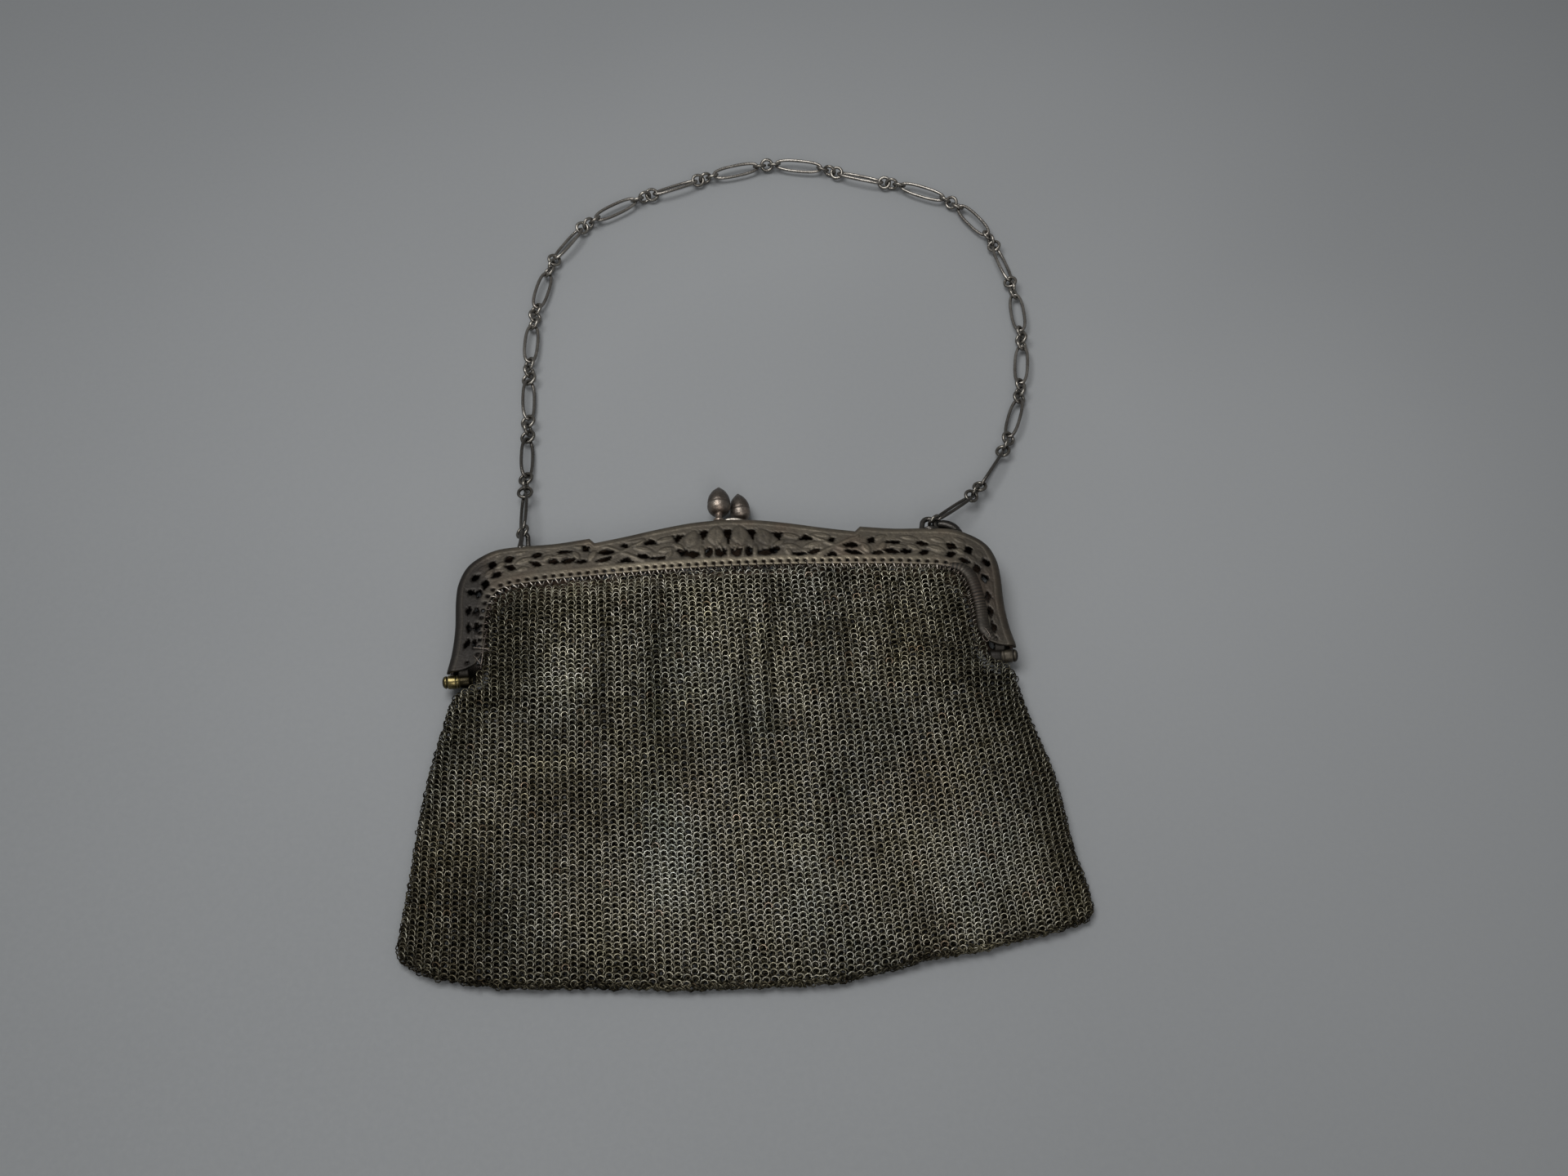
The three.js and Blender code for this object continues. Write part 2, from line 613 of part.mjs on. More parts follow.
const route = new THREE.CatmullRomCurve3(
  chainRoute.map((p) => new THREE.Vector3(p.x, p.y, p.z)),
);
route.arcLengthDivisions = 2000;
const routeLength = route.getLength();
const linkPitch = (routeLength + 2 * ringJoin) / linkCount;
const linkReach = linkPitch / 2 - ringJoin - ringSeat; // centre to the end wire's centre
const routeShare = (distance) => THREE.MathUtils.clamp(distance / routeLength, 0, 1);
const routePoint = (distance) => route.getPointAt(routeShare(distance));

function chordAt(distance, reach) {
  // Middle and direction of a stiff piece whose ends lie on the route.
  const near = routePoint(distance - reach);
  const far = routePoint(distance + reach);
  return { centre: near.clone().add(far).multiplyScalar(0.5), direction: far.clone().sub(near) };
}

const longLinkMean = (longLinkWidth - longLinkWire) / 2;
const smallRing = wireLoop(smallRingMean, smallRingMean, 2, smallRingWire, 8);
const longLink = wireLoop(linkReach, longLinkMean, longLinkFullness, longLinkWire, 12);
const numbered = (stem, i) => `${stem}_${String(i + 1).padStart(2, '0')}`;
const linkPlaces = [linkReach + ringSeat];
ringSlack.forEach((slack) => {
  linkPlaces.push(linkPlaces.at(-1) + linkPitch + 2 * slack);
});

function ringAt(distance, rollDegrees) {
  const direction = route.getTangentAt(routeShare(distance));
  return laidAlong(smallRing, routePoint(distance), direction, rollDegrees);
}

for (let i = 0; i < linkCount; i += 1) {
  const { centre, direction } = chordAt(linkPlaces[i], linkReach);
  const link = laidAlong(longLink, centre, direction, linkRolls[i]);
  link.computeBoundingBox();
  link.translate(0, 0, Math.max(0, 0.1 - link.boundingBox.min.z));
  addPiece(numbered('chain_link', i), link, metals.chain);
}

for (let i = 0; i < linkCount - 1; i += 1) {
  const middle = (linkPlaces[i] + linkPlaces[i + 1]) / 2;
  const apart = ringJoin + ringSlack[i];
  const between = (linkRolls[i] + linkRolls[i + 1]) / 2;
  const trio = joined([
    ringAt(middle - apart, linkRolls[i] + 90),
    ringAt(middle, between),
    ringAt(middle + apart, linkRolls[i + 1] + 90),
  ]);
  addPiece(numbered('chain_rings', i), geometryOf(trio), metals.chain);
}

addPiece('chain_end_ring_left', ringAt(0, endRingRolls.left), metals.chain);
addPiece('chain_end_ring_right', ringAt(routeLength, endRingRolls.right), metals.chain);

// The origin is the middle of the underside of the whole object's box.
const box = new THREE.Box3().setFromObject(bag);
const middle = box.getCenter(new THREE.Vector3());
bag.position.set(-middle.x, -middle.y, -box.min.z);

export default bag;
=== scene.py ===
import math
import bpy
import numpy as np
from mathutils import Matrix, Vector


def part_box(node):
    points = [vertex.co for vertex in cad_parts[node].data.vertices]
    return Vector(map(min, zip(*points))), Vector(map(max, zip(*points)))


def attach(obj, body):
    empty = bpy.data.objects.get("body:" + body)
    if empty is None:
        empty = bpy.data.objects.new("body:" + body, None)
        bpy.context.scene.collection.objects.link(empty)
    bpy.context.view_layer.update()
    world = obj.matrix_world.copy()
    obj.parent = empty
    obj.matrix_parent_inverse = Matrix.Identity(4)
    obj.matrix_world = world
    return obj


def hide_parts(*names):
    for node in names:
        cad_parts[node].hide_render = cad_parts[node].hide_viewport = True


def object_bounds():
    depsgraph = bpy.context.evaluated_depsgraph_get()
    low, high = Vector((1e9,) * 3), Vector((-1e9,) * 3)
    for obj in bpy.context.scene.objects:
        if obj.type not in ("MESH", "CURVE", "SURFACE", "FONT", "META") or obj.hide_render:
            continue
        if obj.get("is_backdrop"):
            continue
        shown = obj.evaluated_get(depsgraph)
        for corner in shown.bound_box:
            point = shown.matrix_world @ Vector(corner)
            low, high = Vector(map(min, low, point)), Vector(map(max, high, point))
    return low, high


# A ring-mesh frame purse lying on its back. Sizes are millimetres about the middle of the hinge line:
# x runs along the hinge, y from the hem to the crest, z up from the table.
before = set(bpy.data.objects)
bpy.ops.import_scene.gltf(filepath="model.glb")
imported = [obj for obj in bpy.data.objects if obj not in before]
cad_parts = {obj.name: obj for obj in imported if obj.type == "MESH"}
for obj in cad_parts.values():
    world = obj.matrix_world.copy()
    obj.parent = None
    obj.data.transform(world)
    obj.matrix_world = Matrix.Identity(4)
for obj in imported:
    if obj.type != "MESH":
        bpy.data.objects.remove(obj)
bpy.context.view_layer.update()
print("frame loaded,", len(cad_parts), "CAD pieces")

rng = np.random.default_rng(19)
pinDrop = 0.4  # the pins lie this far below the line of the feet
leftPin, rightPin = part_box("hinge_pin_left"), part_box("hinge_pin_right")
hingeMid = np.array([
    (leftPin[0].x + rightPin[1].x) * 500,
    (leftPin[0].y + leftPin[1].y) * 500 + pinDrop,
    0.0,
])


def place(points):
    # millimetres about the hinge line to metres in the CAD frame
    return (np.asarray(points, float) + hingeMid) / 1000


def cadPoints(name):
    # a CAD piece's own vertices, back in millimetres about the hinge line
    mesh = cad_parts[name].data
    flat = np.empty(len(mesh.vertices) * 3)
    mesh.vertices.foreach_get("co", flat)
    return flat.reshape(-1, 3) * 1000 - hingeMid


legBow = {"left": -0.4, "right": 1.35}  # how far the frame's legs are bent outwards


def askew(points):
    # the frame lies bent a little outwards at its legs, the right one more: x grows with the distance from
    # the middle, less over the shoulders, and not at all below the hinge
    x, y = points[..., 0], points[..., 1]
    bow = np.where(x > 0, legBow["right"], legBow["left"]) * ease(np.abs(x), 25, 62)
    bow = bow * (1 - 0.6 * ease(y, 31, 38)) * ease(y, -6, 2)
    return points + np.stack([bow, np.zeros_like(bow), np.zeros_like(bow)], -1)


def bent(shape):
    # a shape bent along with the frame
    return askew(shape[0]), shape[1]


def unit(vectors):
    # each vector over its own length
    return vectors / np.linalg.norm(vectors, axis=-1, keepdims=True)


def squareTo(vectors, axis):
    # each vector less its share along an axis, at unit length
    return unit(vectors - (vectors * axis).sum(-1, keepdims=True) * axis)


def around(turn, first, second):
    # directions round a circle: cosine of the first, sine of the second
    return np.cos(turn)[:, None] * first + np.sin(turn)[:, None] * second


def ease(value, low, high):
    # 0 below low, 1 above high, 3t^2 - 2t^3 between
    t = np.clip((value - low) / (high - low), 0, 1)
    return t * t * (3 - 2 * t)


def bell(value, width):
    # e to the minus t^2, with t the value in widths
    return np.exp(-((value / width) ** 2))


def evenTurn(count, start=0.0):
    # angles of one full turn in equal steps
    return start + 2 * np.pi * np.arange(count) / count


def awayFromLine(x, y, x0, y0, x1, y1):
    # distance from each point to the nearest spot on the line between two ends
    run = np.array([x1 - x0, y1 - y0])
    share = np.clip(((x - x0) * run[0] + (y - y0) * run[1]) / (run @ run), 0, 1)
    return np.hypot(x - x0 - share * run[0], y - y0 - share * run[1])


def turnedBy(x, y, px, py, degrees):
    # a point's distances along and across a direction through px, py
    c, s = math.cos(math.radians(degrees)), math.sin(math.radians(degrees))
    return (x - px) * c + (y - py) * s, (y - py) * c - (x - px) * s


def throughPoints(points, count):
    # Catmull-Rom: each span is the cubic whose end slopes are half the step between its neighbours
    points = np.asarray(points, float)
    padded = np.vstack([2 * points[0] - points[1], points, 2 * points[-1] - points[-2]])
    where = np.linspace(0, len(points) - 1, count)
    span = np.minimum(where.astype(int), len(points) - 2)
    t = (where - span)[:, None]
    a, b, c, d = (padded[span + k] for k in range(4))
    return 0.5 * (2 * b + (c - a) * t + (2 * a - 5 * b + 4 * c - d) * t**2 + (3 * b - a - 3 * c + d) * t**3)


def lengthAlong(path):
    # running sum of the steps between a path's points
    return np.r_[0, np.cumsum(np.linalg.norm(np.diff(path, axis=0), axis=1))]


def atLength(marks, reach, columns):
    # rows of a path looked up at distances along it
    return np.stack([np.interp(marks, reach, column) for column in columns.T], -1)


def gridFaces(rows, columns, wrapRows=False, wrapColumns=False):
    # quads of a grid numbered row by row, facing (step along a row) x (step to the next row)
    r, c = np.meshgrid(
        np.arange(rows if wrapRows else rows - 1),
        np.arange(columns if wrapColumns else columns - 1),
        indexing="ij",
    )
    nextR, nextC = (r + 1) % rows, (c + 1) % columns
    quads = [r * columns + c, r * columns + nextC, nextR * columns + nextC, nextR * columns + c]
    return np.stack(quads, -1).reshape(-1, 4)


def endCaps(rows, sides):
    # one face over a tube's first ring of points and one over its last
    rim = np.arange(sides)
    return np.stack([rim[::-1], rim + (rows - 1) * sides])


def wireAlong(path, hint, radius, sides, closed=False):
    # a circle of the wire's radius carried along a path; hint is a direction the path never runs in
    path = np.asarray(path, float)
    ahead = np.roll(path, -1, 0) - np.roll(path, 1, 0) if closed else np.gradient(path, axis=0)
    ahead = unit(ahead)
    hint = np.broadcast_to(np.asarray(hint, float), path.shape)
    first = squareTo(hint, ahead)
    spoke = around(evenTurn(sides), first[:, None], np.cross(ahead, first)[:, None])
    reach = np.broadcast_to(radius, len(path))[:, None, None]
    points = (path[:, None] + reach * spoke).reshape(-1, 3)
    tube = gridFaces(len(path), sides, closed, True)
    return points, [tube] if closed else [tube, endCaps(len(path), sides)]


def turned(profile, base, tip, sides, relief=None):
    # a profile of (distance along, radius) spun about the line from base to tip; relief adds to the radius
    base, tip = np.array(base, float), np.array(tip, float)
    axis = unit(tip - base)
    side = unit(np.cross(axis, (0.31, 0.12, 0.94)))
    turn = evenTurn(sides)
    along, radius = np.asarray(profile, float).T
    radius = np.repeat(radius[:, None], sides, 1)
    if relief:
        radius = radius + relief(along[:, None], turn)
    spoke = around(turn, side, np.cross(axis, side))
    points = base + along[:, None, None] * axis + radius[..., None] * spoke
    return points.reshape(-1, 3), [gridFaces(len(along), sides, False, True), endCaps(len(along), sides)]


def ringField(centre, across, up, radius, wire, segments, sides):
    # many rings as one surface: each runs at its radius in the plane of across and up, from a corner at its
    # top, and carries a small polygon of the wire's size with one corner to the front
    out = around(evenTurn(segments, np.pi / 2), across[:, None], up[:, None])
    behind = np.cross(up, across)
    core = centre[:, None] + radius * out
    skin = around(evenTurn(sides, -np.pi / 2), out[:, :, None], behind[:, None, None])
    points = core[:, :, None] + wire * skin
    one = gridFaces(segments, sides, True, True)
    start = segments * sides * np.arange(len(centre))
    return points.reshape(-1, 3), [(one[None] + start[:, None, None]).reshape(-1, 4)]


def joinParts(parts):
    # several surfaces as one, each numbered after the last
    points, faceSets, start = [], [], 0
    for partPoints, partFaces in parts:
        points.append(partPoints)
        faceSets += [faces + start for faces in partFaces]
        start += len(partPoints)
    return np.concatenate(points), faceSets


def allOver(shape, **values):
    # the same marks at every point of a shape
    return {mark: np.full(len(shape[0]), value) for mark, value in values.items()}


def allRound(sides, **values):
    # each mark of a profile or a path repeated round it
    return {mark: np.repeat(value, sides) for mark, value in values.items()}


def newObject(name, data):
    thing = bpy.data.objects.new(name, data)
    bpy.context.scene.collection.objects.link(thing)
    return thing


def makePiece(name, shape, look, stands, marks=None):
    # points and faces put into a mesh as they are, with the marks as values at its points
    points, faceSets = shape
    corners = np.concatenate([faces.ravel() for faces in faceSets]).astype(np.int32)
    sizes = np.concatenate([np.full(len(faces), faces.shape[1]) for faces in faceSets])
    mesh = bpy.data.meshes.new(name)
    mesh.vertices.add(len(points))
    mesh.vertices.foreach_set("co", place(points).astype(np.float32).ravel())
    mesh.loops.add(len(corners))
    mesh.loops.foreach_set("vertex_index", corners)
    mesh.polygons.add(len(sizes))
    mesh.polygons.foreach_set("loop_start", np.r_[0, np.cumsum(sizes)[:-1]].astype(np.int32))
    mesh.polygons.foreach_set("use_smooth", np.ones(len(sizes), bool))
    for mark, values in (marks or {}).items():
        attribute = mesh.attributes.new(mark, "FLOAT", "POINT")
        attribute.data.foreach_set("value", np.asarray(values, np.float32).ravel())
    mesh.materials.append(look)
    mesh.update(calc_edges=True)
    piece = newObject(name, mesh)
    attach(piece, "root")
    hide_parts(*stands)
    return piece


def onFrame(name, shape, look, marks=None, half="front"):
    # a piece that belongs to one half of the frame
    return makePiece(name, shape, look, ["frame_" + half], marks)


# Materials

def tone(code):
    # sRGB hex to a linear colour
    part = np.array([int(code[k:k + 2], 16) for k in (1, 3, 5)]) / 255
    linear = np.where(part <= 0.04045, part / 12.92, ((part + 0.055) / 1.055) ** 2.4)
    return (*linear.tolist(), 1.0)


def addNode(tree, kind, inputs=None, **settings):
    node = tree.nodes.new("ShaderNode" + kind)
    for key, value in settings.items():
        setattr(node, key, value)
    for key, value in (inputs or {}).items():
        if isinstance(value, bpy.types.NodeSocket):
            tree.links.new(value, node.inputs[key])
        else:
            node.inputs[key].default_value = value
    return node


def mixColour(tree, share, first, second, mode="MIX"):
    node = addNode(tree, "Mix", {0: share, 6: first, 7: second}, data_type="RGBA", blend_type=mode)
    return node.outputs[2]


def sums(tree, how, first, second):
    return addNode(tree, "Math", {0: first, 1: second}, operation=how).outputs[0]


def spread(tree, value, low, high, toLow, toHigh):
    return addNode(tree, "MapRange", {0: value, 1: low, 2: high, 3: toLow, 4: toHigh}).outputs[0]


def cloudy(tree, where, millimetres, detail, seed=0.0):
    # noise whose blotches are about this many millimetres across
    inputs = {"Vector": where, "W": seed, "Scale": 1000 / millimetres, "Detail": detail, "Roughness": 0.6}
    return addNode(tree, "TexNoise", inputs, noise_dimensions="4D").outputs["Fac"]


def marked(tree, name):
    return addNode(tree, "Attribute", attribute_name=name).outputs["Fac"]


def ramp(tree, value, stops):
    node = addNode(tree, "ValToRGB", {"Fac": value})
    bar = node.color_ramp.elements
    while len(bar) < len(stops):
        bar.new(0.5)
    for stop, (where, code) in zip(bar, stops):
        stop.position = where
        stop.color = tone(code)
    return node.outputs["Color"]


def newLook(name, metallic):
    look = bpy.data.materials.new(name)
    look.use_nodes = True
    tree = look.node_tree
    skin = tree.nodes["Principled BSDF"]
    skin.inputs["Metallic"].default_value = metallic
    where = addNode(tree, "TexCoord").outputs["Object"]
    return look, tree, skin, where


def finishLook(tree, skin, colour, rough, height, depth):
    # colour, roughness and a bump of the given depth in millimetres
    bump = addNode(tree, "Bump", {"Strength": 1.0, "Distance": depth / 1000, "Height": height})
    tree.links.new(colour, skin.inputs["Base Color"])
    tree.links.new(rough, skin.inputs["Roughness"])
    tree.links.new(bump.outputs["Normal"], skin.inputs["Normal"])


def wornAndShadedMetal(name, finish):
    # blotchy tarnish, darker where the piece marks grime and painted shade, and brighter where it marks
    # wear and painted highlights, with fine pits
    look, tree, skin, where = newLook(name, finish["metallic"])
    blotch = cloudy(tree, where, finish["blotch"], 5)
    fine = cloudy(tree, where, finish["blotch"] / 7, 3, 4.0)
    pits = cloudy(tree, where, finish["pit"], 3, 9.0)
    mixed = sums(tree, "ADD", sums(tree, "MULTIPLY", blotch, 0.65), sums(tree, "MULTIPLY", fine, 0.35))
    colour = ramp(tree, mixed, finish["tones"])
    patches = cloudy(tree, where, finish["blotch"] * 2, 2, 15.0)
    warm = spread(tree, patches, 0.5, 0.72, 0.0, finish["warmShare"])
    colour = mixColour(tree, warm, colour, tone(finish["warm"]))
    colour = mixColour(tree, marked(tree, "rust"), colour, tone(finish["warm"]))
    grime = marked(tree, "grime")
    wear = marked(tree, "wear")
    brightened = sums(tree, "MULTIPLY", wear, spread(tree, fine, 0.3, 0.6, 0.45, 1.0))
    colour = mixColour(tree, grime, colour, tone(finish["grime"]))
    colour = mixColour(tree, brightened, colour, tone(finish["wear"]))
    low, high = finish["rough"]
    rough = spread(tree, mixed, 0.35, 0.65, high, low)
    rough = sums(tree, "SUBTRACT", rough, sums(tree, "MULTIPLY", brightened, 0.1))
    finishLook(tree, skin, colour, rough, pits, finish["pitDepth"])
    return look


frameMetal = wornAndShadedMetal("frameMetal", {
    "metallic": 0.62, "blotch": 8.0, "pit": 0.7, "pitDepth": 0.09, "rough": (0.42, 0.58),
    "tones": [(0.32, "#2a2621"), (0.5, "#3c372f"), (0.68, "#514b41")],
    "warm": "#4f3a2c", "warmShare": 0.4, "grime": "#0d0a08", "wear": "#6a6355",
})
knobMetal = wornAndShadedMetal("knobMetal", {
    "metallic": 0.9, "blotch": 3.0, "pit": 0.7, "pitDepth": 0.12, "rough": (0.3, 0.46),
    "tones": [(0.3, "#403a36"), (0.5, "#645d57"), (0.7, "#8f8880")],
    "warm": "#7d6a5e", "warmShare": 0.4, "grime": "#1a1614", "wear": "#dcd6cc",
})
chainMetal = wornAndShadedMetal("chainMetal", {
    "metallic": 0.92, "blotch": 5.0, "pit": 0.5, "pitDepth": 0.06, "rough": (0.18, 0.34),
    "tones": [(0.34, "#54514e"), (0.5, "#706d69"), (0.68, "#93908b")],
    "warm": "#4d443d", "warmShare": 0.35, "grime": "#0f0e0d", "wear": "#c4c0b6",
})
pinBrass = wornAndShadedMetal("pinBrass", {
    "metallic": 0.92, "blotch": 3.0, "pit": 0.4, "pitDepth": 0.04, "rough": (0.22, 0.38),
    "tones": [(0.34, "#2b2619"), (0.5, "#463e29"), (0.68, "#675d3f")],
    "warm": "#4a3e24", "warmShare": 0.5, "grime": "#141109", "wear": "#b3a56f",
})


def ringMetal():
    # each ring carries its own shade and tint; noise adds a little along the wire
    look, tree, skin, where = newLook("ringMetal", 0.85)
    fine = cloudy(tree, where, 1.2, 2)
    shade = sums(tree, "ADD", marked(tree, "shade"), spread(tree, fine, 0.3, 0.7, -0.12, 0.12))
    colour = ramp(tree, shade, [(0.0, "#120e05"), (0.3, "#5a5649"), (0.6, "#a4a298"), (1.0, "#d2cfc8")])
    colour = mixColour(tree, marked(tree, "warm"), colour, tone("#ece6be"), "MULTIPLY")
    colour = mixColour(tree, marked(tree, "cool"), colour, tone("#c9dadd"), "MULTIPLY")
    colour = mixColour(tree, marked(tree, "rust"), colour, tone("#e0b49c"), "MULTIPLY")
    rough = spread(tree, shade, 0.1, 0.9, 0.5, 0.3)
    finishLook(tree, skin, colour, rough, cloudy(tree, where, 0.35, 2, 3.0), 0.02)
    return look


ringMesh = ringMetal()
print("materials made")

# Mesh pouch: rows of linked rings over a soft front and a flat back

pouch = {
    # height at the row's ends and middle, half width, front height at the middle and the ends
    "rows": np.array([
        (25, 28.7, 57, 8.2, 7.9), (22.4, 25.4, 61, 8.4, 7.6), (19.4, 21.6, 62.2, 8.6, 7.4),
        (14.4, 15.8, 62.9, 8.7, 7.2), (7.5, 8.4, 63.2, 8.7, 7), (2.5, 2.6, 63.4, 8.6, 6.6),
        (-0.6, -1, 64.4, 8.55, 6), (-2.5, -3.6, 66.8, 8.5, 4.8), (-3.6, -5.4, 69.2, 8.45, 4.2),
        (-5.4, -8, 71, 8.3, 4), (-11, -13, 72.5, 8.1, 3.8), (-22, -25, 75, 7.6, 3.4),
        (-34, -38.5, 77.3, 7, 3.1), (-47, -53, 78.7, 6.2, 2.9), (-60, -69, 80.1, 5.3, 2.7),
        (-69, -80, 81.3, 4.5, 2.6), (-73, -85.6, 81.7, 4, 2.4), (-75.4, -88.4, 80.6, 3.2, 2.2),
    ]),
    "rowBend": (2.2, 3.4),  # how squarely a row curves to its ends, at the mouth and at the hem
    # top and low end of each fold, depth, width
    "folds": [
        (-18.3, 28, -19.7, -15, 1.5, 1.9), (-32, 27, -32.7, -21, 1.1, 2.3), (5.2, 24, 2.2, -33, 1.3, 1.6),
        (11.3, 30, 8.7, -20, 1.5, 1.7), (31.4, 22, 28.2, -21, 1, 2.4), (43.6, 22, 41, -8, 1.1, 1.8),
        (-50, 22, -56, -12, 0.9, 3), (25.2, -36, 23.4, -57, 0.7, 2.6), (-25.5, 4, -27, -40, 0.6, 2.4),
        (54, 18, 58, -20, 0.7, 2.6),
    ],
    # how far the hem is drawn up, at these distances from the middle
    "hemAt": (-82, -75, -68, -60, -50, -40, -28, -16, 0, 22, 30, 38, 45, 52, 60, 66, 71, 76, 82),
    "hemLift": (
        -1, -1.8, -0.6, 0.4, 1.6, 2.7, 2.7, 1.9, 1.6, 1.5, 2.7, 3.9, 4.9, 4.5, 4.2, 4, 3, 2, 1.2,
    ),
    "bulges": [(-47, 20, 1.2), (-5, 7, 1.3)],  # of the right side: height, spread, how far out
    "swell": 5,  # the higher, the flatter the front between its sides
    "tuck": 0.6,  # of the top row, under the frame
    "hemBulge": 1.4, "ripple": 0.12, "frontSink": 0.6, "backRise": 1.3, "backShare": 0.97,
}
# rings of the front's two interleaved lattices and the back's: step across and down, shift of the lattice
# in steps, tilt from the cloth in degrees, radius, wire, depth below the cloth, corners, change of shade,
# and which side stands proud and stays bright, the top (1) or the bottom (-1), while the other side
# gets painted shade
ringKeys = ("pitch", "shift", "lean", "radius", "wire", "sink", "segments", "shade", "proud")
ringRows = {
    "scale": ((2, 1.56), 0, 36, 0.91, 0.165, 0, 8, 0.14, 1),
    "link": ((2, 1.56), 0.5, -42, 0.66, 0.14, 0.34, 6, 0.03, -1),
    # the back's rings are painted dark: painted shade for the pouch's shadowed inside, seen through the
    # front's gaps
    "backScale": ((2.6, 2.2), 0, 22, 1.1, 0.42, 0, 6, -0.32, 1),
    "backLink": ((2.6, 2.2), 0.5, -22, 1.1, 0.42, 0, 5, -0.32, -1),
    "edge": (None, 0, 30, 0.82, 0.18, 0, 7, -0.12, 0),
}
rings = {name: dict(zip(ringKeys, row)) for name, row in ringRows.items()}
lattice = {
    "above": 1.8,  # the first row lies this far over the pouch's top
    "columns": 44,  # to each side of the middle
    "waves": [(0.45, 0.43, 0), (0.3, 1.1, 1), (0.22, 2.3, 2)],  # of the columns' heights: size, rate, start
    "step": (0.97, 0.045),  # width of a column at the top, and what it gains to the hem
    "drift": 2.3,  # of the columns to the right, from the top to the hem
    "scatter": (0.06, 0.07),  # of a ring, across and down
    "loosen": 1.2,  # how much more the rings are turned near the frame
    "leanScatter": 7, "turnScatter": (0.13, 0.07),
}
tarnishAndPaintedLight = {
    "base": 0.385, "patch": 0.65, "waves": 0.12, "scatter": 0.07,
    "edge": 0.18, "hem": 0.1, "upper": 0.17,  # darker towards the sides, the hem and the frame
    # a ring's deep side gets painted shade, and the brightening of its two flanks is a painted highlight
    "deepShade": 0.85, "rubbedAndGlint": 0.35,  # a ring's deep side is dulled and its two flanks are brightened
}
# two ends of each patch, radius, then how much it adds to shade, warm, cool and rust, as far as it does
# the thin dark streaks that run down the folds are painted shade in the fold valleys
patinaAndFoldShade = [
    (-16.6, -42, -17.5, -63, 6.5, 0.5, 0, 0.3), (15.1, -52.9, 14, -70.3, 6, 0.22, 0, 0.4),
    (55.3, -61.1, 54.1, -72.6, 6, 0.2, 0.1, 0.2), (-42.3, 10.5, -42.3, -6.2, 5.5, 0.06, 0.4),
    (-7.5, 17, -8.3, -8.1, 7.5, 0.18, 0.5), (7.4, 28.6, 5.6, -19.9, 2.6, 0.24, 0.1, 0.2),
    (43.9, 10.8, 42.3, -7.5, 8, -0.06, 0.4, 0, 0.1), (-53.5, -26.2, -40.2, -26.9, 3, 0.24, 0.9),
    (-61.3, 11.6, -60.8, -8.3, 6.5, -0.2, 0, 0.2), (-18.6, 14, -19.7, -15.5, 2.6, -0.2, 0, 0.3),
    (-32.3, 20.3, -32.6, -21.2, 1.8, -0.2, 0, 0.2, 0.1),
    (-20.2, -10.6, -20.8, -41.9, 8, -0.22, 0, 0.6, 0.1),
    (-46.8, -37.4, -46.7, -44.9, 10, -0.22, 0.2, 0, 0.4), (4.3, 13, 2.2, -32.6, 1.4, -0.3, 0, 0.2, 0.1),
    (10, 8, 8.6, -20.2, 2.2, -0.3, 0, 0.4), (30.4, 9.8, 28.2, -21.3, 2, -0.2, 0.1, 0.1, 0.1),
    (42.7, 14.2, 41, -5.9, 1.5, -0.2, 0.1, 0.1), (-67.6, -54.2, -66.9, -77.8, 10, -0.26, 0.1, 0, 0.2),
    (76, -16.1, 80, -75.6, 8, -0.3, 0, 0.2, 0.1), (44.3, -73.5, 43.3, -83.4, 6, -0.2, 0.1, 0, 0.2),
    (25, -36.9, 23.6, -56.5, 4.5, -0.16, 0, 0.3), (47.3, -34.5, 46.9, -40.4, 6.5, -0.2, 0.1, 0, 0.6),
    (-10.7, -36.5, -10.7, -38.3, 5, -0.04, 0.1, 0, 0.7), (64, 12, 66, -12, 7, -0.42, 0, 0.1),
    (-66, -8, -73, -70, 13, -0.2, 0.1, 0.1), (-48, 0, -44, -24, 9, -0.14),
    (48, 2, 57, -12, 8, -0.16, 0, 0.1, 0.1), (-52, -22, 52, -22, 12, -0.14),
    (-59, -66, -58, -78, 8, -0.16, 0, 0.1), (21, 29, 21.6, 17, 5, 0.26),
    (66, -23, 63, -37, 8, -0.26, 0, 0.1), (-44, -80, -27, -82, 6, -0.24), (-43, 1, -43, -6, 5.5, 0.4, 0.4),
    (-47, 26, -43, 20, 7, -0.24), (-60, 26, -57, 18, 6, -0.5, 0, 0.1),
    (-36, -36, -32, -42, 7, -0.22, 0, 0, 0.1), (-54, 6, -72, -18, 5, -0.3, 0, 0.2),
    (-14, -23, -14, -28, 5, -0.14, 0, 0.1), (35, -52, 36, -66, 6, -0.18, 0, 0, 0.1),
    (50, 6, 70, -16, 4, -0.18, 0, 0.1), (-38, -60, -36, -70, 5, -0.16, 0, 0, 0.1),
    (65, -72, 67, -80, 5, -0.2), (24, 6, 23, -8, 5, -0.18, 0, 0.1), (-34, -4, -33, -14, 4, -0.18, 0.1),
    (10, -34, 9, -56, 6, -0.14),
]


def foldDepth(x, y):
    # sum of soft valleys, each a bell across its line and fading out beyond the line's ends
    total = np.zeros_like(x)
    for topX, topY, lowX, lowY, depth, width in pouch["folds"]:
        along = (topY - y) / (topY - lowY)
        line = topX + (lowX - topX) * along
        fade = ease(along, -0.3, 0.15) * (1 - ease(along, 0.6, 1.25))
        total += 0.8 * depth * fade * bell(x - line, width)
    return total


def ofRow(middleY, *columns):
    # columns of the pouch's table, read between its lines at these heights
    rows = pouch["rows"]
    return [np.interp(-middleY, -rows[:, 1], rows[:, column]) for column in columns]


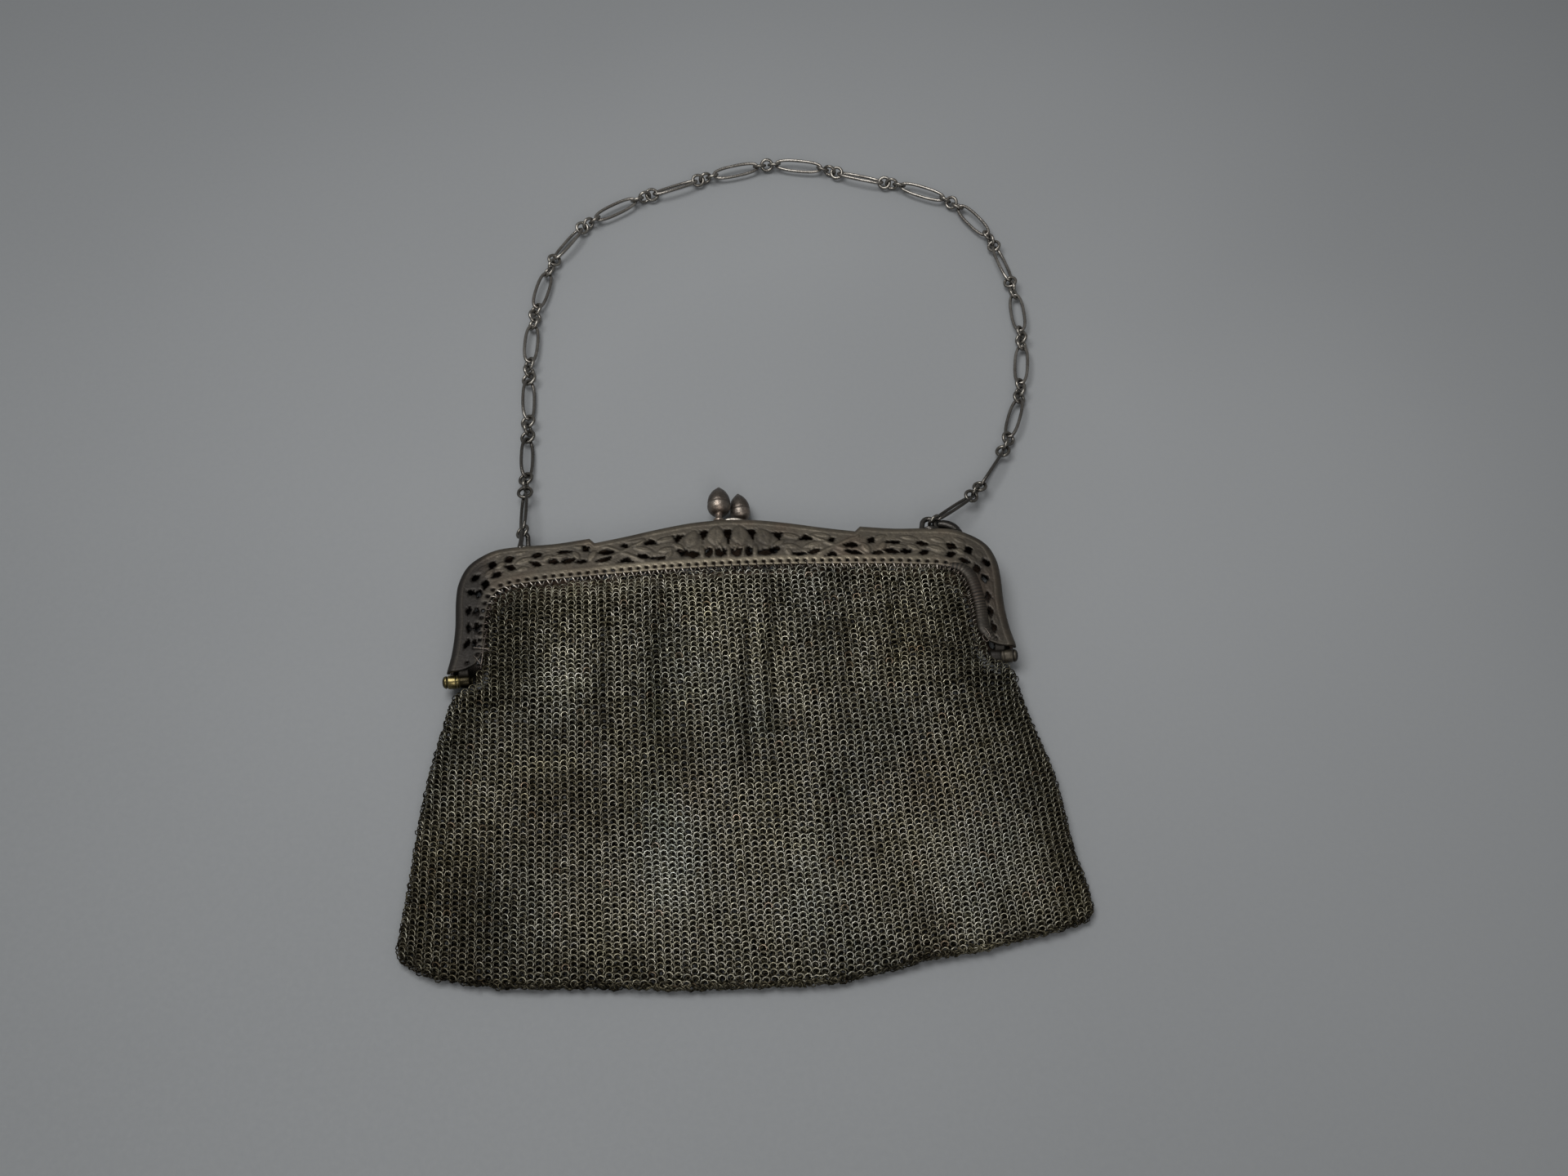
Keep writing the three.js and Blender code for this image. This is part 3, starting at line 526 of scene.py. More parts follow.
def pouchFront(middleY, x):
    # a row's height bends from its middle to its ends, and the front swells between them less the folds
    sideY, half, crown, rise = ofRow(middleY, 0, 2, 3, 4)
    share = np.clip(np.abs(x) / half, 0, 1)
    bend = np.interp(-middleY, [20, 85], pouch["rowBend"])
    y = sideY + (middleY - sideY) * (1 - share**bend)
    slack = 0.95 * ease(x, -54, -47) * (1 - ease(x, -10, -4)) + 0.1 - 0.9 * ease(x, 14, 30)
    swell = np.sqrt(1 - share ** pouch["swell"])
    z = rise + (crown - rise) * swell - foldDepth(x, y) * swell - pouch["frontSink"]
    z = z + pouch["ripple"] * np.sin(x / 3.7 + y / 9.0) * np.sin(y / 5.3 - x / 11.0)
    z = z - pouch["tuck"] * ease(middleY, 28.9, 30.4)
    hemLift = np.interp(x, pouch["hemAt"], pouch["hemLift"])
    y = y - slack * ease(middleY, 22, 29) + hemLift * ease(-middleY, 46, 90)
    bulge = sum(far * bell(middleY - level, tall) for level, tall, far in pouch["bulges"])
    bulge = bulge + pouch["hemBulge"] * ease(-middleY, 55, 84)
    return askew(np.stack([x + bulge * ease(x, 35, 76), y, z], -1))


def pouchBack(middleY, x):
    # the back lies flat on the table, a little narrower
    points = pouchFront(middleY, x)
    points[..., 0] *= pouch["backShare"]
    points[..., 2] = pouch["backRise"]
    return points


def acrossRow(middleY, marks):
    # x for distances measured over a row's swell from its middle; beyond the row's end there is none
    share = np.sin(np.linspace(0, np.pi / 2, 200))
    half, crown, rise = ofRow(middleY, 2, 3, 4)
    x = half * share
    height = rise + (crown - rise) * np.sqrt(np.clip(1 - share ** pouch["swell"], 0, 1))
    length = np.r_[0, np.cumsum(np.hypot(np.diff(x), np.diff(height)))]
    return np.interp(np.abs(marks), length, x, right=np.nan) * np.sign(marks)


def latticeRows(surface, upward, kind):
    # ring centres on one lattice, with the cloth's own directions there by small differences
    across, down = kind["pitch"]
    top, bottom = pouch["rows"][0, 1] + lattice["above"], pouch["rows"][-1, 1]
    column = np.arange(-lattice["columns"], lattice["columns"] + 1) + kind["shift"]
    stagger = sum(size * np.sin(rate * column + start) for size, rate, start in lattice["waves"])
    narrow, gain = lattice["step"]
    found = []
    for row in top - (np.arange(-1, int((top - bottom) / down) + 1) + kind["shift"]) * down:
        progress = (top - row) / (top - bottom)
        x = acrossRow(row, column * across * (narrow + gain * progress) + lattice["drift"] * progress)
        found.append(np.column_stack([row + stagger, x]))
    middleY, x = np.concatenate(found).T
    keep = np.isfinite(x) & (middleY > bottom) & (middleY < top)
    middleY, x = middleY[keep], x[keep]
    scatterX, scatterY = lattice["scatter"]
    x = x + rng.normal(0, scatterX, len(x)) + 0.1 * np.sin(middleY / 4.9 + x / 5)
    middleY = middleY + rng.normal(0, scatterY, len(x))
    centre = surface(middleY, x)
    east = unit(surface(middleY, x + 0.3) - surface(middleY, x - 0.3))
    north = unit(surface(middleY + 0.4, x) - surface(middleY - 0.4, x))
    outward = unit(np.cross(east, north)) * upward
    return centre - kind["sink"] * outward, east, north, outward


def leaning(east, north, outward, degrees, y):
    # a ring's own axes: tipped about the row by the lean, then loosened at random, more towards the frame
    count = len(east)
    loose = 1 + lattice["loosen"] * ease(y, -30, 12)
    lean = np.radians(degrees + loose * rng.normal(0, lattice["leanScatter"], count))[:, None]
    up = np.cos(lean) * north + np.sin(lean) * outward
    normal = np.cos(lean) * outward - np.sin(lean) * north
    yaw, roll = (rng.normal(0, scatter, (count, 1)) for scatter in lattice["turnScatter"])
    across = unit(east + loose[:, None] * (yaw * normal + roll * up))
    return across, squareTo(up, across)


def ringMarks(centre):
    # each ring's shade and tints from the patches, slow waves and its own small chance
    x, y = centre[:, 0], centre[:, 1]
    count = len(x)
    total = np.zeros((4, count))
    for x0, y0, x1, y1, radius, *amounts in patinaAndFoldShade:
        fade = bell(awayFromLine(x, y, x0, y0, x1, y1), radius)
        total[:len(amounts)] += tarnishAndPaintedLight["patch"] * np.array(amounts)[:, None] * fade
    half = ofRow(y, 2)[0]
    slowX, slowY = x / 6.1 + 1.3 * np.sin(y / 13), y / 8.3 + 1.7 * np.sin(x / 17)
    waves = 0.5 + 0.25 * np.sin(slowX) + 0.25 * np.sin(slowY)
    shade = tarnishAndPaintedLight["base"] + total[0] + tarnishAndPaintedLight["waves"] * (waves - 0.5)
    shade = shade - tarnishAndPaintedLight["edge"] * ease(np.abs(x), half - 9, half) - tarnishAndPaintedLight["hem"] * ease(-y, 74, 86)
    shade = shade - tarnishAndPaintedLight["upper"] * ease(y, -14, 22) + rng.normal(0, tarnishAndPaintedLight["scatter"], count)
    warm = np.clip(0.14 + 0.5 * total[1] + 0.3 * (waves - 0.4) + rng.normal(0, 0.12, count), 0, 1)
    cool = np.clip(total[2] + 0.5 * (0.45 - waves) + rng.normal(0, 0.1, count), 0, 1)
    rust = np.clip(0.45 * total[3] + (rng.random(count) < 0.015) * 0.5, 0, 1)
    return {"shade": np.clip(shade, 0.02, 1), "warm": warm, "cool": cool, "rust": rust}


def ringSet(kind, centre, across, up):
    # one kind's rings; each ring's marks repeat over its points, the side that lies deep gets painted shade,
    # and a face ring gets a painted highlight at its two sides, where it meets its neighbours
    segments, proud = kind["segments"], kind["proud"]
    shape = ringField(centre, across, up, kind["radius"], kind["wire"], segments, 3)
    marks = allRound(segments * 3, **ringMarks(centre))
    turn = evenTurn(segments, np.pi / 2)
    # a ring's deep side is painted darker: painted shade where its neighbours shadow it
    paintedDeepShade = 1 - tarnishAndPaintedLight["deepShade"] * (1 - ease(np.sin(turn) * proud, -1.0, -0.2)) * abs(proud)
    # a face ring's two flanks are painted lighter: a painted highlight where the crossings glint
    rubbedAndGlint = tarnishAndPaintedLight["rubbedAndGlint"] * np.cos(turn) ** 4 * (proud > 0)
    shade = (marks["shade"] + kind["shade"]).reshape(-1, segments, 3) * paintedDeepShade[:, None] + rubbedAndGlint[:, None]
    marks["shade"] = np.clip(shade, 0.01, 1).ravel()
    return shape, marks


def meshPiece(name, sets):
    # several sets of rings as one piece of the pouch
    shape = joinParts([part for part, _ in sets])
    marks = {mark: np.concatenate([values[mark] for _, values in sets]) for mark in sets[0][1]}
    makePiece(name, shape, ringMesh, ["mesh_pouch"], marks)


for side, surface, upward, kinds, bands in (
    ("Front", pouchFront, 1.0, ("scale", "link"),
     {"Upper": (90, 0), "Middle": (0, -43), "Lower": (-43, -90)}),
    ("Back", pouchBack, -1.0, ("backScale", "backLink"),
     {"Upper": (90, -36), "Lower": (-36, -90)}),
):
    laid = []
    for kind in kinds:
        centre, east, north, outward = latticeRows(surface, upward, rings[kind])
        laid.append((rings[kind], centre, *leaning(east, north, outward, rings[kind]["lean"], centre[:, 1])))
    for band, (high, low) in bands.items():
        sets = []
        for kind, centre, across, up in laid:
            chosen = (centre[:, 1] <= high) & (centre[:, 1] > low)
            sets.append(ringSet(kind, centre[chosen], across[chosen], up[chosen]))
        meshPiece("mesh" + side + band, sets)
    print("mesh", side.lower(), sum(len(centre) for _, centre, *_ in laid), "rings")

# Walls of the pouch: rings that close its sides and its hem

wall = {
    # step along the wall, places of the rings from the back's edge to the front's, scatter
    "side": (1.1, (0.05, 0.28, 0.5, 0.72, 0.95), 0.14),
    "hem": (1.05, (0.1, 0.5, 0.9), 0.2),
    "bow": 0.45, "stagger": 0.8, "upright": 0.8, "tipScatter": 14, "riseScatter": 0.3, "backLift": 0.42,
}


def wallRings(middleY, x, facing, shares, scatter):
    # rings standing in the wall between the back's edge and the front's: stepped up the wall by the shares,
    # bowed outwards between its ends, and tipped to one side and the other in turn
    backEdge, frontEdge = pouchBack(middleY, x), pouchFront(middleY, x)
    backEdge[:, 2] += wall["backLift"]
    along = unit(np.gradient(frontEdge, axis=0))
    outward = unit(np.cross(along, (0, 0, 1.0))) * facing
    count = len(x)
    lean = rings["edge"]["lean"] * np.where(np.arange(count) % 2, 1, -1)
    points, across, up = [], [], []
    for k, share in enumerate(shares):
        spot = backEdge + share * (frontEdge - backEdge) + wall["bow"] * math.sin(math.pi * share) * outward
        spot = spot + (k % 2 - 0.5) * wall["stagger"] * along + rng.normal(0, scatter, spot.shape)
        tip = np.radians(lean + rng.normal(0, wall["tipScatter"], count))[:, None]
        face = unit(np.cos(tip) * along + np.sin(tip) * outward)
        rise = unit(frontEdge - backEdge + (0, 0, wall["upright"]))
        rise = rise + rng.normal(0, wall["riseScatter"], (count, 1)) * outward
        points.append(spot)
        across.append(face)
        up.append(squareTo(rise, face))
    return ringSet(rings["edge"], np.concatenate(points), np.concatenate(across), np.concatenate(up))


hemY = pouch["rows"][-1, 1]
step, *layers = wall["side"]
sideY = np.arange(-6.6, hemY, -step)
sideX = ofRow(sideY, 2)[0]
meshPiece("meshSides", [wallRings(sideY, way * sideX, -way, *layers) for way in (-1, 1)])
step, *layers = wall["hem"]
hemX = np.arange(-80.4, 80.5, step)
hem = wallRings(np.full(len(hemX), hemY), hemX, 1, *layers)
meshPiece("meshHem", [hem])
print("mesh sides and hem closed")

# Frame: two pierced arches, rim to rim

arch = {
    # outer edge x and y, inner edge x and y, for the right half from the foot up
    "shoulder": [
        (72.1, 0.6, 64.6, 2.4), (71, 6.4, 62.9, 6.1), (70.4, 14, 62.7, 13.1), (70.5, 23, 62, 19.1),
        (69.9, 28.4, 61, 22.6), (67.7, 33.6, 59.2, 24.9), (64.1, 36.8, 57, 25.9), (60, 38.6, 54.5, 26.5),
        (54, 39.3, 51, 26.9), (45, 39.7, 44, 27.6), (36, 40.9, 35.6, 28.1),
    ],
    "crest": [
        (34.6, 39.4, 34.4, 28.2), (26.5, 41, 26.4, 28.6), (17.5, 43, 17.5, 29), (8.5, 44.6, 8.5, 29.2),
        (0, 45.2, 0, 29.3),
    ],
    "depth": 9.0,  # both halves closed
    "parting": 4.68, "wallTop": 7.2, "rimWidth": 2.0, "rimTop": 8.75, "faceHeight": 8.7,
    "stripHeight": 8.76, "stripWidth": 2.8, "lipHeights": (8.71, 8.55, 8.25),  # the lip is the inner edge
    "sheet": 0.75, "footBow": 0.9, "footRise": 2.0, "footHole": (66.8, 2.6, 0.45),
    "holeInset": 1.05, "holePitch": 2.2, "holeRadius": 0.4,
    "holeFrom": 3.0, "holeTo": 2.5,  # first and last hole, from the feet
    "sawCut": 0.2,  # how uneven the openings' edges are
    "drift": (0.8, -0.019),  # the ornament sits this far to the right, and turned by this slope
    "leafCover": 2.4,  # the higher, the less a leaf closes the openings it crosses
    "backGap": 0.03,
    "frontGrid": (0.33, 31, 9, 6),  # step along the band, rows of the face, the strip and the rim
    "backGrid": (0.65, 15, 6, 4),
    "edgeStep": 0.3,  # between the points that lacing and holes are measured on
}
frameWearAndHighlight = {
    # grime at the cut edges, between the leaves, in the veins, and on the left and right leg
    "cuts": 0.55, "recess": 0.14, "vein": 0.4, "legs": (0.92, 0.5),
    # painted highlight along the rim's line; lighter along the inner lip; wear on the leaves' backs, and all
    # over with more on the right
    "line": 0.08, "lip": 0.1, "leaves": 0.22, "sheen": (0.05, 0.09),
    # wear of the strip, more in the middle and less on the left
    "strip": 0.5, "stripMiddle": 0.38, "stripLeft": 0.2,
}
# openings of the right half: x, y, length, width, turn, corners (2 leaf, 3 wedge with its tip along the
# turn, 4 lozenge)
openings = [
    (2.1, 33.9, 4.8, 3.2, 0, 4), (5.3, 33.9, 3.4, 2.8, 90, 4), (9.6, 33.4, 5.2, 2.2, 0, 4),
    (11.9, 34.1, 3.8, 2.8, 20, 4), (6.5, 39.3, 3.2, 2.1, -84, 3), (6.5, 39.9, 1.8, 1.8, 84, 4),
    (12.9, 39.1, 2.8, 2.4, 150, 3), (18.5, 32.5, 4.6, 0.9, 0, 2), (20.6, 37.9, 1.7, 3.8, 90, 3),
    (22.6, 33.2, 3.6, 1.3, 14, 2), (27.2, 32.3, 1.5, 3.9, 90, 3), (27.4, 36.8, 1.9, 1.2, 20, 2),
    (32.4, 34.9, 4, 1.4, 0, 2), (32.8, 32.5, 4.4, 1.3, 164, 2), (37.6, 36.2, 2.6, 1.8, 50, 4),
    (38.8, 32.1, 3, 1.1, 178, 2), (42.3, 32.5, 3.8, 1.4, 165, 2), (46, 32.3, 2.8, 1.3, 4, 2),
    (43.2, 35.4, 3.6, 0.9, 176, 2), (50.5, 31.8, 3, 1.7, 20, 4), (50.4, 34.6, 2.8, 1.3, 165, 2),
    (57.2, 30.8, 3, 1.8, 20, 4), (57.7, 33.5, 3, 2.2, 150, 4), (62, 31.9, 2.9, 2.2, 110, 4),
    (60.6, 28.6, 3, 1.8, 150, 4), (66.2, 27.8, 2.5, 1.7, 125, 2), (63.6, 25.8, 3.2, 2, 100, 4),
    (65.3, 22.7, 2.7, 1.7, 105, 2), (65.7, 16.6, 3.5, 1.5, 100, 2), (65.5, 12, 3.2, 1.4, 95, 2),
    (65.9, 7.4, 3.5, 1.1, 95, 2),
]
# openings of the left leg alone
leftOpenings = [
    (-67.2, 23.2, 3, 1.8, 150, 4), (-67.7, 17.3, 2.5, 1.2, 80, 2), (-67.4, 12.2, 3.2, 1.3, 92, 2),
    (-67.7, 7.4, 3.5, 1.1, 65, 2),
]
crestSlit = (0.0, 38.9, 4.4, 2.1, -90, 3)
# raised leaves and petals of the right half: x, y, length, width, turn, lift
petals = [
    (3.2, 39.2, 7, 5, 95, 0.12), (0, 33.7, 4.4, 1.5, 90, 0.2), (3.9, 33.8, 4.6, 1.1, 84, 0.22),
    (2, 35.2, 3.4, 1.1, 70, 0.2), (7, 33.8, 5, 1.9, 86, 0.22), (15.8, 33.4, 4.4, 1.8, 120, 0.2),
    (9.6, 38.4, 6, 4, 110, 0.12), (13.3, 36, 4.8, 1.8, 35, 0.24), (16.3, 35, 5.4, 2, 172, 0.22),
    (16.6, 38.4, 6, 1.8, 165, 0.18), (22.6, 35.4, 6.2, 1.8, 14, 0.22), (24.6, 38.4, 6, 1.5, 170, 0.18),
    (36, 33.8, 4.4, 2.2, 120, 0.2), (40.2, 34, 3.8, 2, 60, 0.24), (40, 37, 4, 1.8, 20, 0.2),
    (44.4, 33.8, 5.2, 1.7, 175, 0.22), (47.8, 33.5, 3.8, 1.8, 150, 0.22), (47.4, 36.6, 5, 1.6, 168, 0.18),
    (53.6, 32.8, 5.6, 2.2, 160, 0.22), (53.8, 30.2, 3.6, 1.6, 172, 0.2), (54.6, 35.6, 4.4, 1.8, 158, 0.2),
    (59.7, 31.6, 3.6, 2, 145, 0.24), (60.2, 35.2, 3.4, 1.7, 150, 0.2), (62.6, 29.2, 3.8, 2, 132, 0.24),
    (64.6, 30.4, 3.6, 1.9, 128, 0.2), (66.3, 25.4, 3.6, 2, 112, 0.22), (66.4, 20.1, 4.8, 2.6, 100, 0.22),
    (66.5, 14.4, 4.4, 2.4, 97, 0.22), (66.6, 9.7, 4.4, 2.4, 95, 0.22), (67, 4.6, 3.4, 2.4, 105, 0.2),
]
# flat crossing bands of the right half: x and y of the two ends, width
ribbons = [(22.6, 31.8, 34.2, 37.6, 1.3), (22.4, 38.0, 33.8, 31.6, 1.3)]


def bandColumns(step):
    # matched outer and inner edge points from the left foot to the right: each run of stations is a curve
    # stepped evenly along the middle of the band, with a short straight slope at each notch
    runs = []
    for rows in (arch["shoulder"], arch["crest"]):
        fine = throughPoints(rows, 800)
        reach = lengthAlong((fine[:, :2] + fine[:, 2:]) / 2)
        runs.append(atLength(np.linspace(0, reach[-1], int(reach[-1] / step) + 1), reach, fine))
    slope = runs[0][-1] + np.linspace(0, 1, 6)[1:-1, None] * (runs[1][0] - runs[0][-1])
    right = np.vstack([runs[0], slope, runs[1]])
    return np.vstack([right[:-1] * (-1, 1, -1, 1), right[::-1]])


def innerEdge():
    # points of the arch's inner edge, the direction across the band there, and the length along the edge
    columns = bandColumns(arch["edgeStep"])
    edge = columns[:, 2:]
    return edge, unit(edge - columns[:, :2]), lengthAlong(edge)


def lacingHoles():
    # evenly along the inner edge, a little way in from it
    edge, across, reach = innerEdge()
    marks = np.arange(arch["holeFrom"], reach[-1] - arch["holeTo"], arch["holePitch"])
    return atLength(marks, reach, edge - arch["holeInset"] * across)


def drifted(x, y):
    # a point of the plate as the ornament's own x and y
    return x - arch["drift"][0], y - arch["drift"][1] * x


def petalShares(sideX, y):
    # for each petal its body, 1 in the middle and 0 at its pointed outline, and the distance across it
    for px, py, long, wide, turn, high in petals:
        u, v = turnedBy(sideX, y, px, py, turn)
        yield 1 - (u / (long / 2)) ** 2 - np.abs(v / (wide / 2)), v, wide, high


def openingDistance(x, y, holes):
    # distance to the nearest opening's edge, negative inside: a leaf is where two discs overlap, a wedge and
    # a lozenge are bounded by straight lines, each less the petals across it, and a lacing hole is a disc
    nearest = np.full(x.shape, 9.0)
    plateX, plateY = x, y
    x, y = drifted(x, y)
    mirrored = [(-px, py, long, wide, 180 - turn, corners) for px, py, long, wide, turn, corners in openings]
    for px, py, long, wide, turn, corners in openings + mirrored + leftOpenings + [crestSlit]:
        u, v = turnedBy(x, y, px, py, turn)
        v = np.abs(v)
        a, b = long / 2, wide / 2
        if corners == 2:
            disc = (a * a + b * b) / (2 * b)
            gap = np.hypot(u, v + disc - b) - disc
        elif corners == 3:
            gap = np.maximum(((u - a) * b + v * 2 * a) / math.hypot(2 * a, b), -u - a)
        else:
            gap = (np.abs(u) / a + v / b - 1) * a * b / math.hypot(a, b)
        nearest = np.minimum(nearest, gap)
    for body, _, wide, _ in petalShares(np.abs(x), y):
        nearest = np.maximum(nearest, np.clip(body * wide / arch["leafCover"], -9, 9))
    wander = 3.4 * x + 1.6 * np.sin(2.3 * y)
    nearest = nearest + arch["sawCut"] * np.sin(wander) * np.sin(3.9 * y + 1.2 * x)
    footX, footY, footRadius = arch["footHole"]
    discs = [(*hole, arch["holeRadius"]) for hole in holes]
    for discX, discY, radius in discs + [(-footX, footY, footRadius), (footX, footY, footRadius)]:
        nearest = np.minimum(nearest, np.hypot(plateX - discX, plateY - discY) - radius)
    return nearest


def ornament(x, y):
    # height of the chased leaves: each a pointed dome with a vein down its middle, over flat crossing bands
    lift = np.zeros_like(x)
    vein = np.zeros_like(x)
    x, y = drifted(x, y)
    sideX = np.abs(x)
    for body, across, _, high in petalShares(sideX, y):
        lift = np.maximum(lift, high * np.sqrt(np.clip(body * 1.6, 0, 1)))
        vein = np.maximum(vein, 0.7 * bell(across, 0.16) * (body > 0.05))
        vein = np.maximum(vein, bell(body, 0.16))
    for *ends, wide in ribbons:
        away = awayFromLine(sideX, y, *ends)
        lift = np.maximum(lift, 0.2 * (1 - ease(away, wide / 2 - 0.25, wide / 2)))
        vein = np.maximum(vein, 0.6 * bell(away - wide * 0.3, 0.12))
    return lift, vein


def archHalf(step, faceRows, stripRows, rimRows):
    # one half of the frame as a sheet, along the arch by across the band: upright wall, quarter-round rim, a
    # step down to the chased face, the strip with its lacing holes, and a rolled inner edge
    columns = bandColumns(step)
    outer, inner = columns[:, :2], columns[:, 2:]
    width = np.linalg.norm(inner - outer, axis=1)[:, None]
    across = (inner - outer) / width
    rim, rimTop, wallTop, face = (arch[key] for key in ("rimWidth", "rimTop", "wallTop", "faceHeight"))
    swing = np.linspace(0, np.pi / 2, rimRows)
    rimIn = np.r_[0, 0, rim * (1 - np.cos(swing)), rim + 0.18, rim + 0.34]
    upright = np.r_[arch["parting"], (arch["parting"] + wallTop) / 2]
    rimHigh = np.r_[upright, wallTop + (rimTop - wallTop) * np.sin(swing), rimTop - 0.02, face]
    stripIn = -np.r_[np.linspace(arch["stripWidth"] - 0.2, 0.3, stripRows), 0.12, 0.0, 0.0]
    faceStart, faceEnd = rimIn[-1], width - arch["stripWidth"]
    faceShare = np.linspace(0, 1, faceRows + 2)[1:-1]
    inward = np.hstack([
        np.repeat(rimIn[None], len(columns), 0),
        faceStart + faceShare * (faceEnd - faceStart),
        width + stripIn,
    ])
    points = np.empty(inward.shape + (3,))
    points[..., :2] = outer[:, None] + inward[..., None] * across[:, None]
    strip = np.full(stripRows, arch["stripHeight"])
    points[..., 2] = np.r_[rimHigh, np.full(faceRows, face), strip, arch["lipHeights"]]
    # towards the feet the wall thins out, and the foot's lower edge bows down between its corners
    points[:, :2, 2] += ((1 - ease(outer[:, 1], 1, 6)) * arch["footRise"])[:, None] * (1.0, 0.5)
    reach = lengthAlong((outer + inner) / 2)
    nearFoot = 1 - ease(np.minimum(reach, reach[-1] - reach), 0, 5)
    share = np.clip(inward / width, 0, 1)
    points[..., 1] -= arch["footBow"] * nearFoot[:, None] * np.sin(np.pi * share) ** 0.8
    # vertices close to an opening's edge are drawn onto it, and what lies inside is left out
    holes = lacingHoles()
    inside = np.arange(inward.shape[1]) >= len(rimIn)
    x, y = points[..., 0], points[..., 1]
    gap = openingDistance(x, y, holes)
    probe = 0.02
    slopeX = (openingDistance(x + probe, y, holes) - gap) / probe
    slopeY = (openingDistance(x, y + probe, holes) - gap) / probe
    draw = (np.abs(gap) < 0.5 * max(0.3, step)) & inside
    move = np.where(draw, gap, 0.0) / np.maximum(slopeX**2 + slopeY**2, 0.5)
    x -= move * slopeX
    y -= move * slopeY
    gap = np.where(draw, 0.0, gap)
    gap[:, ~inside] = 9.0
    # chasing on the face, softened towards the rim, the strip and the openings
    onFace = ease(inward, faceStart, faceStart + 0.5) * (1 - ease(inward, faceEnd - 0.5, faceEnd))
    lift, vein = ornament(x, y)
    onLeg = ease(np.abs(x), 58, 66)
    lift, vein = lift * (1 - 0.7 * onLeg), vein * (1 - 0.8 * onLeg)
    edgeFall = 0.2 * (1 - ease(gap, 0, 0.45)) * (gap < 5)
    points[..., 2] += onFace * (lift - 0.1 * vein) - edgeFall
    recess = onFace * (1 - np.clip(lift / 0.15, 0, 1)) * (1 - onLeg)
    grime = frameWearAndHighlight["cuts"] * (1 - ease(gap, 0, 0.5)) + frameWearAndHighlight["recess"] * recess
    grime = np.clip(grime + frameWearAndHighlight["vein"] * onFace * vein, 0, 0.9)
    grime = np.clip(grime + np.where(x < 0, *frameWearAndHighlight["legs"]) * onLeg, 0, 0.9)
    rubbedAndGlint = frameWearAndHighlight["strip"] + frameWearAndHighlight["stripMiddle"] * (1 - ease(np.abs(x), 26, 36))
    rubbedAndGlint = (rubbedAndGlint - frameWearAndHighlight["stripLeft"] * ease(-x, 24, 34)) * (1 - ease(np.abs(x), 40, 60))
    low, more = frameWearAndHighlight["sheen"]
    wear = ease(inward, faceEnd, faceEnd + 0.5) * rubbedAndGlint + (low + more * ease(x, 5, 35)) * (1 - onLeg)
    # the rim's line is painted lighter: a painted highlight
    wear += frameWearAndHighlight["line"] * bell(inward - rim - 0.02, 0.22)
    wear += frameWearAndHighlight["lip"] * bell(width - inward - 0.3, 0.25)
    wear += frameWearAndHighlight["leaves"] * onFace * ease(lift, 0.1, 0.22) * (1 - vein)
    faces = gridFaces(*inward.shape)
    solid = faces[gap.ravel()[faces].mean(1) > 1e-4]
    used, renumbered = np.unique(solid, return_inverse=True)  # points that no face uses are left out
    marks = {"grime": grime.ravel()[used], "wear": (np.clip(wear, 0, 1) * (gap > 0.2)).ravel()[used]}
    return (askew(points).reshape(-1, 3)[used], [renumbered.reshape(solid.shape)]), marks


def thicken(piece, millimetres):
    # gives a sheet its thickness, inwards
    shell = piece.modifiers.new("sheetMetal", "SOLIDIFY")
    shell.thickness = millimetres / 1000
    shell.offset = -1


def underneath(shape):
    # the back half is the front's mirror image in the parting plane, turned right side out
    points, faceSets = shape
    points = points * (1, 1, -1) + (0, 0, arch["depth"] + arch["backGap"])
    return points, [faces[:, ::-1] for faces in faceSets]


shape, marks = archHalf(*arch["frontGrid"])
thicken(onFrame("frameFront", shape, frameMetal, marks), arch["sheet"])
shape, marks = archHalf(*arch["backGrid"])
marks |= allOver(shape, rust=0.7)
thicken(onFrame("frameBack", underneath(shape), frameMetal, marks, "back"), arch["sheet"])
print("frame halves made")

# Lacing wire through the strip's holes, a ridged roll down the right leg, and loose ends

lacing = {
    "wire": 0.2,
    # half a loop's width and height and how far its middle lies past the edge: front, back, beside the roll
    "loop": (0.9, 0.5, 0.35),
    "backLoop": (0.9, 0.45, 0.35),
    "rollLoop": (0.65, 0.55, 0.7),
    "rollPitch": 1.35,
    "height": 8.35, "stepsPerTurn": 12, "endWire": 0.17,
}
rollSize = {
    "from": 0.83,  # share of the edge's length where the roll begins
    "flat": 0.55,  # its height against its width
    "foot": [(66.6, 2.3), (68.2, 1.4), (70.0, 1.0)],  # where it turns along the foot
    "radius": 1.7, "inset": 1.35, "height": 8.3, "step": 0.13, "sides": 16,
    "ridge": 0.06, "ridgePitch": 0.95,
}


def laceAlong(start, end, pitch, loop, sides):
    # a flattened helix about the inner edge: it comes up through a hole, over the edge, and back underneath
    reach, rise, inset = loop
    edge, across, length = innerEdge()
    turns = (end - start) / pitch
    marks = np.linspace(start, end, int(turns * lacing["stepsPerTurn"]))
    phase = np.pi - 2 * np.pi * (marks - start) / pitch
    base, out = atLength(marks, length, edge), atLength(marks, length, across)
    wobble = 1 + 0.08 * np.sin(marks * 1.7)
    flat = base + (inset + reach * wobble * np.cos(phase))[:, None] * out
    path = np.column_stack([flat, lacing["height"] + rise * np.sin(phase)])
    run = unit(np.gradient(base, axis=0))
    return wireAlong(path, np.column_stack([run, np.zeros(len(marks))]), lacing["wire"], sides)


